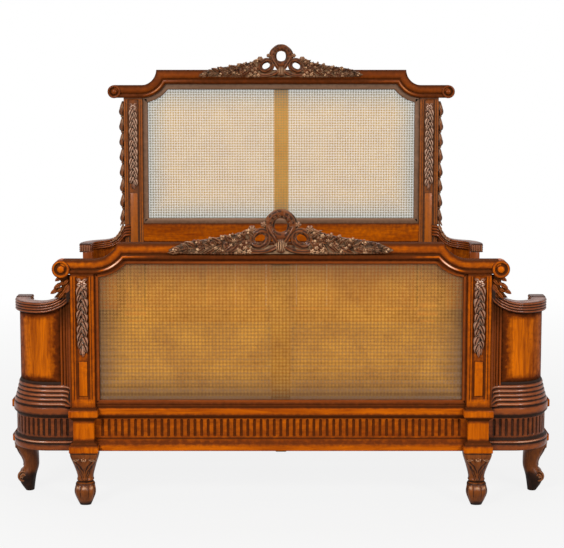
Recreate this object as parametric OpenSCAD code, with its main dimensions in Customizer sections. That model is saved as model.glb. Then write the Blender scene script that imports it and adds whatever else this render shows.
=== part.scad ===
// Caned bed with carved crests, scrolled top rails and wings that wrap round its corners.
// Millimetres, Z up. X runs across the bed, Y from the foot (-) to the head (+).
// The origin is on the floor, below the middle of the bed.
// End pieces are drawn on the +X side of an end that faces -Y, then mirrored into place.

/* [Mattress] */
// Width of the mattress that the bed takes
mattress_w = 1800; // [1600:20:2000]
// Length of the mattress
mattress_l = 2000; // [1900:20:2100]
// Play between the mattress and each end
end_gap = 7; // [6:1:15]
// From the side of the mattress to the outer face of the corner blocks
side_margin = 100; // [95:5:120]
// Height of the slats' upper face, where the mattress lies
rest_z = 304; // [290:2:324]

/* [Base] */
// Height of the carved legs
leg_h = 200; // [160:2:230]
// Height of the lower moulding
lower_h = 36; // [28:1:44]
// Height of the fluted frieze
frieze_h = 97; // [85:1:115]
// Height of the upper moulding
upper_h = 32; // [26:1:40]
// How far the base rails lie behind the blocks' faces
base_in = 36; // [30:1:40]
// How far the frieze lies behind the mouldings
frieze_in = 10; // [7:1:13]
// Thickness of the base rails, mouldings included
base_t = 32; // [26:1:36]
// Radius of one flute
flute_r = 5.5; // [4:0.5:7]
// Distance from one flute to the next
flute_pitch = 24; // [20:1:30]
// Length of a flute
flute_l = 66; // [50:2:74]

/* [Posts] */
// Width of the post blocks
block_w = 105; // [95:1:115]
// Depth of the post blocks
post_d = 78; // [72:1:90]
// How far the block in the frieze is narrower, on each side
block_in = 15; // [8:1:20]
// Distance from the corner's centre to the middle of a foot post
foot_post_in = 132; // [120:1:140]
// The same for a head post
head_post_in = 116; // [110:1:125]
// Width of the foot posts above the base
foot_post_w = 85; // [80:1:90]
// Width of the head posts above the base
head_post_w = 92; // [86:1:96]
// Depth of the sunk panel in a post's face
sink_d = 6; // [3:0.5:9]
// Width of the plain band on each side of the sunk panel
sink_edge = 15; // [12:1:19]
// Thickness of the plain raised fillet in the sunk panel
fillet_t = 5; // [2:0.5:6]
// From the base up to the sunk panels
panel_foot = 30; // [20:1:38]
// From a post's top down to its sunk panel
panel_head = 12; // [8:1:16]
// Height of the foot posts' fillets above the base
foot_fillet_up = 40; // [36:1:60]
// Height of the head posts' fillets above the base
head_fillet_up = 240; // [200:5:300]
// Length of a garland in a foot post
foot_garland_l = 289; // [260:1:300]
// Length of a garland in a head post
head_garland_l = 430; // [380:5:450]
// Distance from one pair of leaves to the next
garland_pitch = 26; // [24:1:30]
// Length of a garland's leaf
leaf_l = 34; // [30:1:38]
// Width of a garland's leaf
leaf_w = 15; // [12:1:18]

/* [Top rails] */
// Height of the footboard's raised middle
foot_top = 962; // [910:2:1010]
// Drop from the raised middle to the foot rail's side runs
foot_drop = 60; // [50:1:70]
// Height of the foot rail in the middle
foot_rail_h = 58; // [50:1:64]
// Height of the foot rail's side runs
foot_run_h = 50; // [44:1:56]
// Radius of the foot rail's hollow shoulders
foot_shoulder_r = 99; // [80:1:120]
// From the middle of a foot post to where the shoulder starts
foot_shoulder_in = 38; // [30:1:50]
// From the middle of a foot post to the middle of its scroll
foot_scroll_out = 73; // [66:1:80]
// Height of the headboard's raised middle
head_top = 1553; // [1420:5:1620]
// Drop from the raised middle to the head rail's side runs
head_drop = 75; // [65:1:76]
// Height of the head rail in the middle
head_rail_h = 68; // [60:1:76]
// Height of the head rail's side runs
head_run_h = 62; // [54:1:66]
// Radius of the head rail's hollow shoulders
head_shoulder_r = 77; // [76:1:95]
// From the middle of a head post to where the shoulder starts
head_shoulder_in = 39; // [30:1:50]
// From the middle of a head post to the middle of its scroll
head_scroll_out = 91; // [84:1:100]
// Radius of the scrolls at the rails' ends
scroll_r = 32; // [28:1:36]
// Depth of the top rails, front to back
rail_d = 64; // [56:1:70]

/* [Cane panels] */
// Width of the strips round the foot cane
foot_strip = 15; // [10:1:20]
// Width of the strips round the head cane
head_strip = 25; // [18:1:30]
// Depth of those strips
strip_d = 28; // [22:1:34]
// Thickness of the woven cane
cane_t = 3; // [2:0.5:4]
// Depth of the groove that holds the cane's edge
groove = 5; // [3:0.5:7]
// Width of the upright behind the middle of the cane
stile_w = 69; // [50:1:90]
// Height of the cane panel's lower edge at the head
head_cane_z = 794; // [714:5:864]
// Height of the rail below the head cane
mid_rail_h = 90; // [70:2:120]
// Thickness of the plain board below that rail
board_t = 16; // [12:1:22]

/* [Crests] */
// Height of a crest above its rail
crest_up = 126; // [110:1:140]
// Depth to which a crest laps down its rail's face
crest_down = 37; // [30:1:42]
// Half the width of a crest
crest_half = 404; // [360:2:440]
// Thickness of a crest where it lies on the rail
crest_t = 11; // [8:1:11]
// Outer radius of a crest's upper ring
ring_r = 59; // [50:1:64]
// Radius of the hole in that ring
ring_hole = 24; // [18:1:28]
// Radius of the loops beside the ring
loop_r = 42; // [38:1:46]
// Radius of the holes in those loops
loop_hole = 19; // [14:1:22]
// From the middle of a crest to the middle of each loop
loop_x = 74; // [68:1:78]

/* [Wings] */
// Radius of a wing's wall, on its outside
wall_r = 118; // [108:1:124]
// Thickness of a wing's wall
wall_t = 16; // [12:1:18]
// Radius of the hollow between post and wing
cove_r = 43; // [38:1:43]
// How far the capping stands out over the wall
cap_out = 16; // [12:1:20]
// Width of the capping, outside to inside
cap_w = 58; // [50:1:64]
// Height of the foot cappings' top at the wing's end
foot_cap_z = 742; // [714:1:754]
// Height of the head cappings' top at the wing's end
head_cap_z = 714; // [694:1:754]
// Height of the capping's side at the wing's end
cap_h = 39; // [34:1:46]
// Rise of the capping's top from the wing's end to the post
cap_rise = 75; // [60:1:90]
// Rise of the capping's underside
under_rise = 58; // [44:1:66]
// Length of a wing's straight end
wing_end = 60; // [50:1:70]
// How far the flared moulding stands out at its foot
flare_out = 26; // [20:1:27]
// Height of the flared moulding
flare_h = 84; // [70:2:100]
// Number of reeds in the flared moulding
flare_reeds = 5; // [3:1:7]
// Radius of the reeds in the hollow between post and wing
cove_reed_r = 7; // [5:0.5:8]
// Length of the leaves below a foot scroll
drop_leaf_l = 82; // [76:1:90]
// Radius of the husks on the head posts
husk_r = 33; // [28:1:36]
// Radius of their necks
husk_neck = 14; // [12:1:18]
// Number of husks on a post
husk_n = 8; // [5:1:9]

/* [Legs and corner blocks] */
// Width of a corner block, across the bed
corner_w = 88; // [80:1:100]
// Length of a corner block, along the bed
corner_l = 100; // [90:1:110]
// Width of a leg at its top
leg_w = 103; // [90:1:105]
// Width of a leg at its ankle
ankle_w = 58; // [50:1:66]
// Width of a leg's ball foot
ball_w = 76; // [66:1:84]
// Width of a leg on the floor
toe_w = 40; // [30:1:50]

/* [Side rails and slats] */
// Thickness of the side rails
side_t = 45; // [38:1:46]
// Number of slats
slat_n = 14; // [10:1:16]
// Width of a slat
slat_w = 80; // [60:2:90]
// Thickness of a slat
slat_t = 20; // [16:1:24]
// Width of the bearers under the slats' ends
bearer_w = 30; // [24:1:40]
// Height of the bearers and of the middle beam
beam_h = 65; // [50:1:70]
// Width of the middle beam
beam_w = 50; // [40:1:70]
// Number of posts under the middle beam
prop_n = 3; // [1:1:5]
// Distance from the first of them to the last
prop_span = 600; // [400:20:1500]
// Thickness of those posts
prop_w = 45; // [38:1:50]
// Thickness of the beam's steel stirrups
stirrup_t = 4; // [3:0.5:6]
// Radius of a bed bolt
bolt_r = 4; // [3:0.5:5]
// Length of a bolt's grip in the side rail
bolt_grip = 60; // [50:2:90]
// Play round bolts and tenons
play = 0.4; // [0.2:0.1:0.8]
// Length of a bolt's head
bolt_head_l = 6; // [4:1:8]
// Length of the rails' tenons
tenon_l = 30; // [20:1:36]
// Thickness of the base rails' tenons
tenon_t = 12; // [8:1:14]
// Thickness of the side rails' tenons
side_tenon_t = 20; // [14:1:24]

/* [Hidden] */
$fn = 48;
FOOT = 0;
HEAD = 1;
FAR = 3000;

// Plan of the whole bed
bed_l = mattress_l + 2 * (post_d + end_gap);
half_w = mattress_w / 2 + side_margin;
base_line = 10;
corner_r = wall_r + flare_out + 1;
corner_x = half_w - base_line - corner_r;
corner_y = base_in + 4 + corner_r;
post_x = [corner_x - foot_post_in, corner_x - head_post_in];
post_w = [foot_post_w, head_post_w];
wall_y = corner_y - wall_r;
cove_y = wall_y - cove_r;

// Levels of the base
lower_z = leg_h + lower_h;
upper_z = lower_z + frieze_h;
base_z = upper_z + upper_h;
sill_h = 9;
sill_d = 28;
tenon_in = 12;

// Each end's face: the plane of the top rail's front
face_in = post_d - rail_d;
face_y = [-bed_l / 2 + face_in, bed_l / 2 - post_d];
post_back = 10;
shaft_d = rail_d - post_back;

// Shape of each top rail
top_z = [foot_top, head_top];
drop = [foot_drop, head_drop];
rail_h = [foot_rail_h, head_rail_h];
run_h = [foot_run_h, head_run_h];
shoulder_r = [foot_shoulder_r, head_shoulder_r];
shoulder_x = [post_x[FOOT] - foot_shoulder_in, post_x[HEAD] - head_shoulder_in];
scroll_x = [post_x[FOOT] + foot_scroll_out, post_x[HEAD] + head_scroll_out];
scroll_z = [for (e = [FOOT, HEAD]) top_z[e] - drop[e] - scroll_r + 0.6];
post_top = [for (e = [FOOT, HEAD]) top_z[e] - drop[e] - run_h[e]];

// Cane panels
opening_x = [for (e = [FOOT, HEAD]) post_x[e] - post_w[e] / 2];
opening_z = [base_z + sill_h, head_cane_z];
strip = [foot_strip, head_strip];
strip_in = 22;
cane_in = strip_in + 12;

// Wing capping, whose height depends on how far out it is
cap_end_x = corner_x + wall_r + cap_out;
cap_z = [foot_cap_z, head_cap_z];
cap_bend = 6;
under_bend = 5;
cap_steps = 16;
cap_reeds = 4;

// Sunk panels of the posts, with a garland above a plain fillet
sink_z = [for (e = [FOOT, HEAD]) [base_z + panel_foot, post_top[e] - panel_head]];
garland_gap = [2, 12];
garland_l = [foot_garland_l, head_garland_l];
garland_top = [for (e = [FOOT, HEAD]) sink_z[e][1] - garland_gap[e]];
garland_z = [for (e = [FOOT, HEAD]) [garland_top[e] - garland_l[e], garland_top[e]]];
fillet_up = [foot_fillet_up, head_fillet_up];
fillet_gap = 14;
fillet_z = [for (e = [FOOT, HEAD]) [base_z + fillet_up[e], garland_z[e][0] - fillet_gap]];

// Lying surfaces and fasteners
slat_gap = 3;
slat_x = half_w - corner_w - slat_gap;
bearer_end = bed_l / 2 - corner_y + 10;
slat_y = bearer_end + slat_w / 2;
beam_z = rest_z - slat_t - beam_h;
corner_end = corner_y + corner_l;
rail_half = bed_l / 2 - corner_end;
bolt_x = half_w - base_line - side_t + 11;
bolt_head_r = 2 * bolt_r;
bolt_end = 4;
bolt_l = bolt_grip - bolt_end + corner_l;
bolt_z = [lower_z + 20, upper_z - 20];
nut_r = bolt_r + 3;
nut_l = 22;
nut_y = rail_half - bolt_grip + 2 * nut_r;

function lerp(a, b, t) = a + (b - a) * t;
function cap_share(e, x) = (cap_end_x - x) / (cap_end_x - outer_x(e));
function outer_x(e) = post_x[e] + post_w[e] / 2;
function rise(e, x, up, bend) = up * pow(max(0, min(1, cap_share(e, x))), bend);
function cap_top(e, x) = cap_z[e] + rise(e, x, cap_rise, cap_bend);
function cap_under(e, x) = cap_z[e] - cap_h + rise(e, x, under_rise, under_bend);
function cap_level(e, x, t) = lerp(cap_top(e, x), cap_under(e, x), t);

// A smooth line through hand-set points
function spline_point(p, i, t) =
    let (a = p[max(i - 1, 0)], b = p[i], c = p[i + 1], d = p[min(i + 2, len(p) - 1)])
    0.5 * (2 * b + (c - a) * t + (2 * a - 5 * b + 4 * c - d) * t * t
        + (3 * b - a - 3 * c + d) * t * t * t);
function spline(p, steps) = concat(
    [for (i = [0:len(p) - 2], k = [0:steps - 1]) spline_point(p, i, k / steps)],
    [p[len(p) - 1]]);

/* Placing */

// An end whose outer blocks face -Y at the foot and +Y at the head
module at_end(e) {
    if (e == FOOT) translate([0, -bed_l / 2, 0]) children();
    else translate([0, bed_l / 2, 0]) mirror([0, 1, 0]) children();
}

// An end's upper part, which faces -Y at both ends
module at_face(e) {
    translate([0, face_y[e], 0]) children();
}

module on_side(s) {
    if (s < 0) mirror([1, 0, 0]) children();
    else children();
}

module both_sides() {
    on_side(1) children();
    on_side(-1) children();
}

// Stands an XZ drawing up, from depth y0 to y1
module upright(y0, y1) {
    translate([0, y1, 0]) rotate([90, 0, 0]) linear_extrude(height = y1 - y0) children();
}

// A box between two corners
module box(a, b) {
    translate(a) cube(b - a);
}

/* Base mouldings */

// Section of the base: x is the distance out from its inner face, y the height
module base_section(t) {
    polygon([
        [0, leg_h], [t - 4, leg_h], [t, leg_h + 6], [t, lower_z - 10],
        [t - 3, lower_z - 4], [t - 8, lower_z], [t - 8, lower_z + 4],
        [t - frieze_in, lower_z + 11], [t - frieze_in, upper_z - 13],
        [t - 5, upper_z - 5], [t - 5, upper_z], [t - 1, upper_z + 3],
        [t, upper_z + 7], [t, base_z - 6], [t - 4, base_z], [0, base_z]
    ]);
}

// The same section's frieze alone, which runs on between the narrower blocks
module frieze_section(t) {
    translate([0, lower_z]) square([t - frieze_in, frieze_h]);
}

// A straight base member along X, its face at y = 0 and looking to -Y
module base_run(x0, x1, t) {
    translate([x0, t, 0]) rotate([90, 0, 90]) linear_extrude(height = x1 - x0)
        mirror([1, 0]) children();
}

module flute(x, y) {
    translate([x, y, lower_z + (frieze_h - flute_l) / 2])
        cylinder(r = flute_r, h = flute_l, $fn = 24);
}

module base_rail(e) {
    inner = post_x[e] - block_w / 2;
    count = floor((2 * inner - flute_pitch) / flute_pitch / 2);
    difference() {
        translate([0, base_in, 0]) union() {
            base_run(-inner, inner, base_t) base_section(base_t);
            base_run(-inner - block_in, inner + block_in, base_t) frieze_section(base_t);
            box([-opening_x[e], base_t - sill_d, base_z - 1],
                [opening_x[e], base_t, base_z + sill_h]);
            box([-inner - block_in - tenon_l, tenon_in, lower_z + tenon_in],
                [inner + block_in + tenon_l, tenon_in + tenon_t, upper_z - tenon_in]);
        }
        if (e == FOOT)
            for (i = [-count:count]) flute(i * flute_pitch, base_in + frieze_in);
    }
}

module wing_base(e) {
    inner = post_x[e] + block_w / 2;
    wing_pitch = 22;
    in_r = corner_r - base_t;
    face = corner_y - corner_r;
    step = wing_pitch / (corner_r - frieze_in) * 180 / PI;
    difference() {
        union() {
            translate([0, face, 0]) {
                base_run(inner, corner_x, base_t) base_section(base_t);
                base_run(inner - block_in, corner_x, base_t) frieze_section(base_t);
            }
            translate([corner_x, corner_y, 0]) rotate([0, 0, -90])
                rotate_extrude(angle = 90, $fn = 96) translate([in_r, 0]) base_section(base_t);
        }
        for (x = [inner + wing_pitch / 4:wing_pitch:corner_x])
            flute(x, face + frieze_in);
        for (i = [0:floor(80 / step)])
            translate([corner_x, corner_y, 0]) rotate([0, 0, -90 + (i + 0.7) * step])
                flute(corner_r - frieze_in, 0);
    }
}

/* Posts, blocks and legs */

module block(x, w, d, z0, z1, y0 = 0) {
    box([x - w / 2, y0, z0], [x + w / 2, d, z1]);
}

// Blocks in the base, drawn with the outer face at y = 0
module post_blocks(e) {
    x = post_x[e];
    mid_w = block_w - 2 * block_in;
    step_w = block_w - 10;
    step_h = 8;
    block(x, mid_w, post_d, leg_h, base_z, 12);
    block(x, block_w, post_d, leg_h, lower_z);
    block(x, step_w, post_d, lower_z - 1, lower_z + step_h, 6);
    block(x, step_w, post_d, upper_z - step_h, upper_z + 1, 6);
    block(x, block_w, post_d, upper_z, base_z);
}

// A post's shaft with its sunk panel, its face looking to -Y
module post_shaft(e) {
    w = post_w[e];
    sunk = w - 2 * sink_edge;
    x = post_x[e];
    difference() {
        box([x - w / 2, post_back, base_z - 1], [x + w / 2, post_back + shaft_d, post_top[e]]);
        box([x - sunk / 2, post_back - 1, sink_z[e][0]],
            [x + sunk / 2, post_back + sink_d, sink_z[e][1]]);
    }
    edge = 6;
    box([x - sunk / 2 + edge, post_back + sink_d - fillet_t, fillet_z[e][0]],
        [x + sunk / 2 - edge, post_back + sink_d + 1, fillet_z[e][1]]);
}

// Mortise for the base rail's tenon
module base_mortise(e) {
    x = post_x[e] - block_w / 2 + block_in;
    y = base_in + tenon_in;
    box([x - 1, y - play, lower_z + tenon_in - play],
        [x + tenon_l + play, y + tenon_t + play, upper_z - tenon_in + play]);
}

module post(e, s) {
    color("sienna") on_side(s) {
        difference() {
            at_end(e) post_blocks(e);
            at_end(e) base_mortise(e);
        }
        at_face(e) post_shaft(e);
    }
}

// Outlines of a cabriole leg: from the side, and half of its front
leg_outer = [
    [0.03, 1], [0.03, 0.93], [0.13, 0.78], [0.37, 0.5], [0.11, 0.29], [0.21, 0.14], [0.42, 0]
];
leg_inner = [[0.78, 0], [0.82, 0.14], [0.88, 0.29], [0.99, 0.46], [1, 0.6], [0.98, 0.78], [0.98, 1]];

module leg_side(d) {
    scale_up = [for (p = concat(spline(leg_outer, 5), spline(leg_inner, 4)))
        [p[0] * d, p[1] * leg_h]];
    polygon(scale_up);
}

module leg_front(w) {
    half = spline([
        [w / 2, leg_h], [w / 2, leg_h * 0.93], [ankle_w / 2 + 10, leg_h * 0.72],
        [ankle_w / 2, leg_h * 0.5], [ball_w / 2, leg_h * 0.26],
        [ball_w / 2 - 6, leg_h * 0.13], [toe_w / 2, 0]
    ], 5);
    last = len(half) - 1;
    polygon(concat(half, [for (i = [last:-1:0]) [-half[i][0], half[i][1]]]));
}

// A leg whose knee looks to -Y, its top centred on x = 0 and starting at y = 0
module leg(w, d) {
    intersection() {
        upright(-1, d * 1.2) leg_front(w);
        translate([-w / 2 - 1, 0, 0]) rotate([90, 0, 90])
            linear_extrude(height = w + 2) leg_side(d);
    }
}

module post_leg(e, s) {
    color("saddlebrown") on_side(s) at_end(e) translate([post_x[e], 0, 0]) leg(leg_w, post_d);
}

module wing_leg(e, s) {
    color("saddlebrown") on_side(s) at_end(e)
        translate([half_w, corner_y + corner_l / 2, 0]) rotate([0, 0, 90])
            leg(min(leg_w, corner_l), corner_w);
}

/* Top rails, scrolls and crests */

// Everything below a line that lies a share t down from the rail's top edge
module below(e, t) {
    mid = top_z[e] - rail_h[e] * t;
    run = top_z[e] - drop[e] - run_h[e] * t;
    r = shoulder_r[e] + run_h[e] * t;
    x = shoulder_x[e];
    difference() {
        translate([-x, 0]) square([2 * x, mid]);
        for (s = [-1, 1]) translate([s * x, run + r]) circle(r = r, $fn = 96);
    }
    translate([-scroll_x[e], 0]) square([2 * scroll_x[e], run]);
}

module band(e, t0, t1) {
    difference() {
        below(e, t0);
        below(e, t1);
    }
}

module scroll(e) {
    translate([scroll_x[e], 0, scroll_z[e]]) rotate([-90, 0, 0]) difference() {
        union() {
            translate([0, 0, -4]) cylinder(r = scroll_r, h = rail_d + 4);
            translate([0, 0, 4]) sphere(r = scroll_r / 2);
        }
        translate([0, 0, -5]) difference() {
            cylinder(r = scroll_r * 0.74, h = 8);
            translate([0, 0, -9]) cylinder(r = scroll_r / 2, h = 20);
        }
    }
}

module top_rail(e) {
    color("chocolate") at_face(e) {
        upright(7, rail_d) band(e, 0, 1);
        upright(0, 8) band(e, 0, 0.14);
        upright(1.5, 8) band(e, 0.22, 0.68);
        upright(3, 8) band(e, 0.76, 1);
        both_sides() scroll(e);
    }
}

// Silhouette of a crest, with z = 0 on the rail's top edge
module crest_shape() {
    ring_z = crest_up - ring_r;
    loop_z = crest_up - 104;
    half = spline([
        [96, 62], [155, 46], [205, 27], [265, 17], [330, 4], [crest_half, -12],
        [crest_half, -30], [330, -crest_down], [0, -crest_down]
    ], 4);
    difference() {
        union() {
            translate([0, ring_z]) circle(r = ring_r);
            for (s = [-1, 1]) {
                translate([s * loop_x, loop_z]) circle(r = loop_r);
                translate([s * 60, loop_z + 34]) circle(r = 16, $fn = 24);
                translate([s * 118, 46]) circle(r = 20, $fn = 24);
                translate([s * 162, 30]) circle(r = 25, $fn = 24);
                translate([s * 212, 8]) circle(r = 22, $fn = 24);
                translate([s * 255, 0]) circle(r = 24, $fn = 24);
            }
            polygon(concat([[0, loop_z]], half));
            mirror([1, 0]) polygon(concat([[0, loop_z]], half));
        }
        translate([0, ring_z]) circle(r = ring_hole);
        for (s = [-1, 1]) {
            translate([s * loop_x, loop_z]) circle(r = loop_hole);
            translate([s * 27, 14]) circle(r = 6, $fn = 24);
        }
    }
}

module crest(e) {
    color("saddlebrown") at_face(e) {
        upright(-crest_t, 0) translate([0, top_z[e]]) crest_shape();
        upright(-crest_t, 12) intersection() {
            translate([0, top_z[e]]) crest_shape();
            translate([-crest_half, top_z[e]]) square([2 * crest_half, crest_up]);
        }
        for (s = [-1, 1]) {
            translate([s * 162, 6 - crest_t, top_z[e] + 16]) sphere(r = 9);
            translate([s * 255, 6 - crest_t, top_z[e] - 6]) sphere(r = 8.5);
        }
    }
}

/* Cane panels */

// The opening between posts and rails, drawn in by a margin
module opening(e, in) {
    x = opening_x[e] - in;
    intersection() {
        translate([-x, opening_z[e] + in]) square([2 * x, FAR]);
        below(e, 1 + in / run_h[e]);
    }
}

// Strips round the cane: one on each side, one below and one along the top
module cane_strips(e) {
    x = opening_x[e] - strip[e];
    z = opening_z[e] + strip[e];
    side_top = post_top[e] - strip[e];
    color("peru") at_face(e) difference() {
        upright(strip_in, strip_in + strip_d) difference() {
            opening(e, 0);
            opening(e, strip[e]);
            for (s = [-1, 1]) translate([s * x, side_top]) square([2 * strip[e] + 1, 0.4], true);
            for (s = [-1, 1]) translate([s * x, z]) square([0.4, 2 * strip[e] + 1], true);
        }
        upright(cane_in - play / 2, cane_in + cane_t + play / 2)
            opening(e, strip[e] - groove - play);
    }
}

module cane(e) {
    color("tan") at_face(e) upright(cane_in, cane_in + cane_t) opening(e, strip[e] - groove);
}

module stile(e) {
    color("peru") at_face(e)
        box([-stile_w / 2, cane_in + cane_t + play, opening_z[e] + strip[e]],
            [stile_w / 2, strip_in + strip_d, top_z[e] - rail_h[e] - strip[e] * rail_h[e] / run_h[e]]);
}

module head_mid_rail() {
    x = opening_x[HEAD];
    color("chocolate") at_face(HEAD) {
        box([-x, post_back + 4, head_cane_z - mid_rail_h], [x, rail_d - 4, head_cane_z]);
        box([-x, post_back, head_cane_z - 14], [x, post_back + 5, head_cane_z - 4]);
    }
}

module head_board() {
    x = opening_x[HEAD];
    board_in = 26;
    color("sienna") at_face(HEAD)
        box([-x, board_in, base_z + sill_h], [x, board_in + board_t, head_cane_z - mid_rail_h]);
}

/* Carving on the posts */

// A pointed leaf, its stem at the origin and its tip at [0, l]
module leaf_shape(l, w) {
    r = (l * l / 4 + w * w / 4) / w;
    intersection() {
        translate([r - w / 2, l / 2]) circle(r = r);
        translate([w / 2 - r, l / 2]) circle(r = r);
    }
}

// A drop of paired leaves below a flower, in a post's sunk panel
module garland(e) {
    z0 = garland_z[e][0];
    z1 = garland_z[e][1];
    tip_l = 40;
    flower_r = 18;
    count = floor((z1 - z0 - tip_l) / garland_pitch);
    floor_y = post_back + sink_d;
    translate([post_x[e], 0, 0]) {
        upright(floor_y - 8, floor_y) union() {
            translate([-6, z0 + tip_l / 2]) square([12, z1 - z0 - tip_l]);
            translate([0, z1 - flower_r - 4]) circle(r = flower_r, $fn = 24);
            translate([0, z0 + tip_l]) rotate(180) leaf_shape(tip_l, leaf_w);
        }
        for (i = [0:count - 1], s = [-1, 1])
            upright(floor_y - 11 + i % 2, floor_y)
                translate([s * 3, z1 - (i + 1) * garland_pitch])
                    rotate(180 + s * 32) leaf_shape(leaf_l, leaf_w);
    }
}

module garlands(e) {
    color("saddlebrown") at_face(e) both_sides() garland(e);
}

// A leaf that hangs from the foot scroll down to the wing's capping
module leaf_drop() {
    x = outer_x(FOOT);
    top = scroll_z[FOOT] - scroll_r;
    side = spline([
        [0.56, 0], [0.66, 0.15], [0.51, 0.37], [0.71, 0.49], [0.61, 0.61],
        [0.85, 0.76], [0.73, 1]
    ], 4);
    upright(20, 52) difference() {
        translate([x, top]) polygon(concat(
            [[0, 0]], [for (p = side) [p[0], -p[1]] * drop_leaf_l], [[0, -drop_leaf_l]]));
        under_cap_line(FOOT, 0);
    }
}

module foot_leaf_drops() {
    color("saddlebrown") at_face(FOOT) both_sides() leaf_drop();
}

// A chain of husks down the outer side of a head post
module husks() {
    lip = 12;
    x = outer_x(HEAD);
    z1 = scroll_z[HEAD] - 1.5 * scroll_r;
    z0 = cap_z[HEAD] + cap_rise + lip / 2;
    pitch = (z1 - z0) / husk_n;
    difference() {
        translate([x, post_back + shaft_d / 2, 0]) for (i = [0:husk_n - 1])
            translate([0, 0, z0 + i * pitch]) {
                translate([0, 0, lip]) cylinder(r1 = husk_r, r2 = husk_neck, h = pitch - 1.5 * lip);
                cylinder(r1 = husk_neck, r2 = husk_r, h = lip);
                cylinder(r = husk_neck - 2, h = pitch + (i < husk_n - 1 ? 4 : 0));
            }
        box([0, -FAR, 0], [x, FAR, FAR]);
    }
}

module head_husks() {
    color("saddlebrown") at_face(HEAD) both_sides() husks();
}

/* Wings */

// Plan of a wing from its post to its end, standing out by o beyond the wall's face
module wing_plan(e, o, inner_r, end_l) {
    x0 = outer_x(e);
    r = wall_r + o;
    difference() {
        union() {
            translate([x0, wall_y - o]) square([corner_x - x0, r - inner_r]);
            intersection() {
                translate([corner_x, corner_y]) difference() {
                    circle(r = r, $fn = 96);
                    circle(r = inner_r, $fn = 96);
                }
                translate([corner_x, corner_y - r - 1]) square([r + 1, r + 1]);
            }
            if (end_l > 0) translate([corner_x + inner_r, corner_y]) square([r - inner_r, end_l]);
            translate([x0, cove_y]) square([cove_r, cove_r]);
        }
        translate([x0 + cove_r, cove_y]) circle(r = cove_r - o);
    }
}

// Points of a line across the wing at share t of the capping's side
function cap_line(e, t) = [
    for (i = [0:cap_steps])
        let (x = lerp(outer_x(e) - 1, cap_end_x + 1, i / cap_steps)) [x, cap_level(e, x, t)]
];

// Everything below that line, in an XZ drawing
module under_cap_line(e, t) {
    line = cap_line(e, t);
    polygon(concat([[line[0][0], 0]], line, [[line[cap_steps][0], 0]]));
}

module wing_cap(e, s) {
    inner_r = wall_r + cap_out - cap_w;
    color("sienna") on_side(s) at_end(e) {
        difference() {
            intersection() {
                linear_extrude(height = FAR) wing_plan(e, cap_out, inner_r, wing_end);
                upright(0, FAR) difference() {
                    under_cap_line(e, 0);
                    under_cap_line(e, 1);
                }
            }
            for (i = [1:cap_reeds - 1]) intersection() {
                linear_extrude(height = FAR) difference() {
                    wing_plan(e, cap_out + 1, wall_r, wing_end + 1);
                    wing_plan(e, cap_out - 4, wall_r - 1, wing_end + 1);
                }
                upright(0, FAR) difference() {
                    under_cap_line(e, i / cap_reeds - 0.03);
                    under_cap_line(e, i / cap_reeds + 0.03);
                }
            }
        }
        box([corner_x + inner_r + 1, corner_y + 10, cap_z[e] - 6],
            [cap_end_x - 1, corner_y + wing_end, cap_z[e] + 2]);
    }
}

module wing_wall(e, s) {
    reed_x = outer_x(e) + cove_r;
    color("darkorange") on_side(s) at_end(e) intersection() {
        translate([0, 0, base_z]) linear_extrude(height = FAR)
            wing_plan(e, 0, wall_r - wall_t, 0);
        upright(0, FAR) intersection() {
            under_cap_line(e, 1);
            translate([reed_x, 0]) square([FAR, FAR]);
        }
    }
}

module cove_reeds(e) {
    r = cove_r - 1;
    translate([outer_x(e) + cove_r, cove_y]) for (a = [25, 48, 71])
        translate([-r * cos(a), r * sin(a)]) circle(r = cove_reed_r);
}

// The hollow reeded upright between the post and the wall
module wing_reed(e) {
    x0 = outer_x(e);
    intersection() {
        translate([0, 0, base_z]) linear_extrude(height = FAR) intersection() {
            union() {
                wing_plan(e, 0, wall_r - wall_t, 0);
                cove_reeds(e);
            }
            translate([x0, cove_y]) square([cove_r, FAR]);
        }
        upright(0, FAR) under_cap_line(e, 1);
    }
}

module wing_reeds(e) {
    color("sienna") at_end(e) both_sides() wing_reed(e);
}

// Reeded moulding that flares out from the wall down to the base
module wing_flare(e) {
    reed_h = flare_h / flare_reeds;
    for (i = [0:flare_reeds - 1]) {
        o = flare_out * pow(1 - i / flare_reeds, 1.4);
        translate([0, 0, base_z + i * reed_h]) linear_extrude(height = reed_h) difference() {
            wing_plan(e, o, wall_r - 1, 0);
            wing_plan(e, 0, wall_r - 2, 0);
            cove_reeds(e);
        }
    }
}

module wing_flares(e) {
    color("sienna") at_end(e) both_sides() wing_flare(e);
}

// Tenon at a side rail's end, grown by the play where it is cut out of a block
module rail_tenon(y0, y1, grow = 0) {
    x = half_w - base_line - (side_t - side_tenon_t) / 2;
    box([x + 2 - side_tenon_t - grow, y0, leg_h + 10 - grow],
        [x + 2 + grow, y1, lower_z - 4 + grow]);
}

// The block at a wing's end, with the upright that carries the wall and capping
module wing_post(e, s) {
    x0 = half_w - corner_w;
    y1 = corner_y + corner_l;
    mid_in = 22;
    edge = 4;
    color("sienna") on_side(s) at_end(e) difference() {
        union() {
            box([x0, corner_y, leg_h], [half_w - mid_in, y1, base_z]);
            box([x0, corner_y, leg_h], [half_w, y1, lower_z]);
            box([x0, corner_y, upper_z], [half_w, y1, base_z]);
            box([x0 + edge, corner_y, base_z - 1],
                [corner_x + wall_r, corner_y + wing_end, cap_z[e] - cap_h]);
        }
        for (z = bolt_z) translate([bolt_x, corner_y - 1, z]) rotate([-90, 0, 0])
            cylinder(r = bolt_r + play, h = corner_l + 2);
        rail_tenon(y1 - tenon_l - play, y1 + 1, play);
    }
}

/* Side rails, slats and fasteners */

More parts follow.
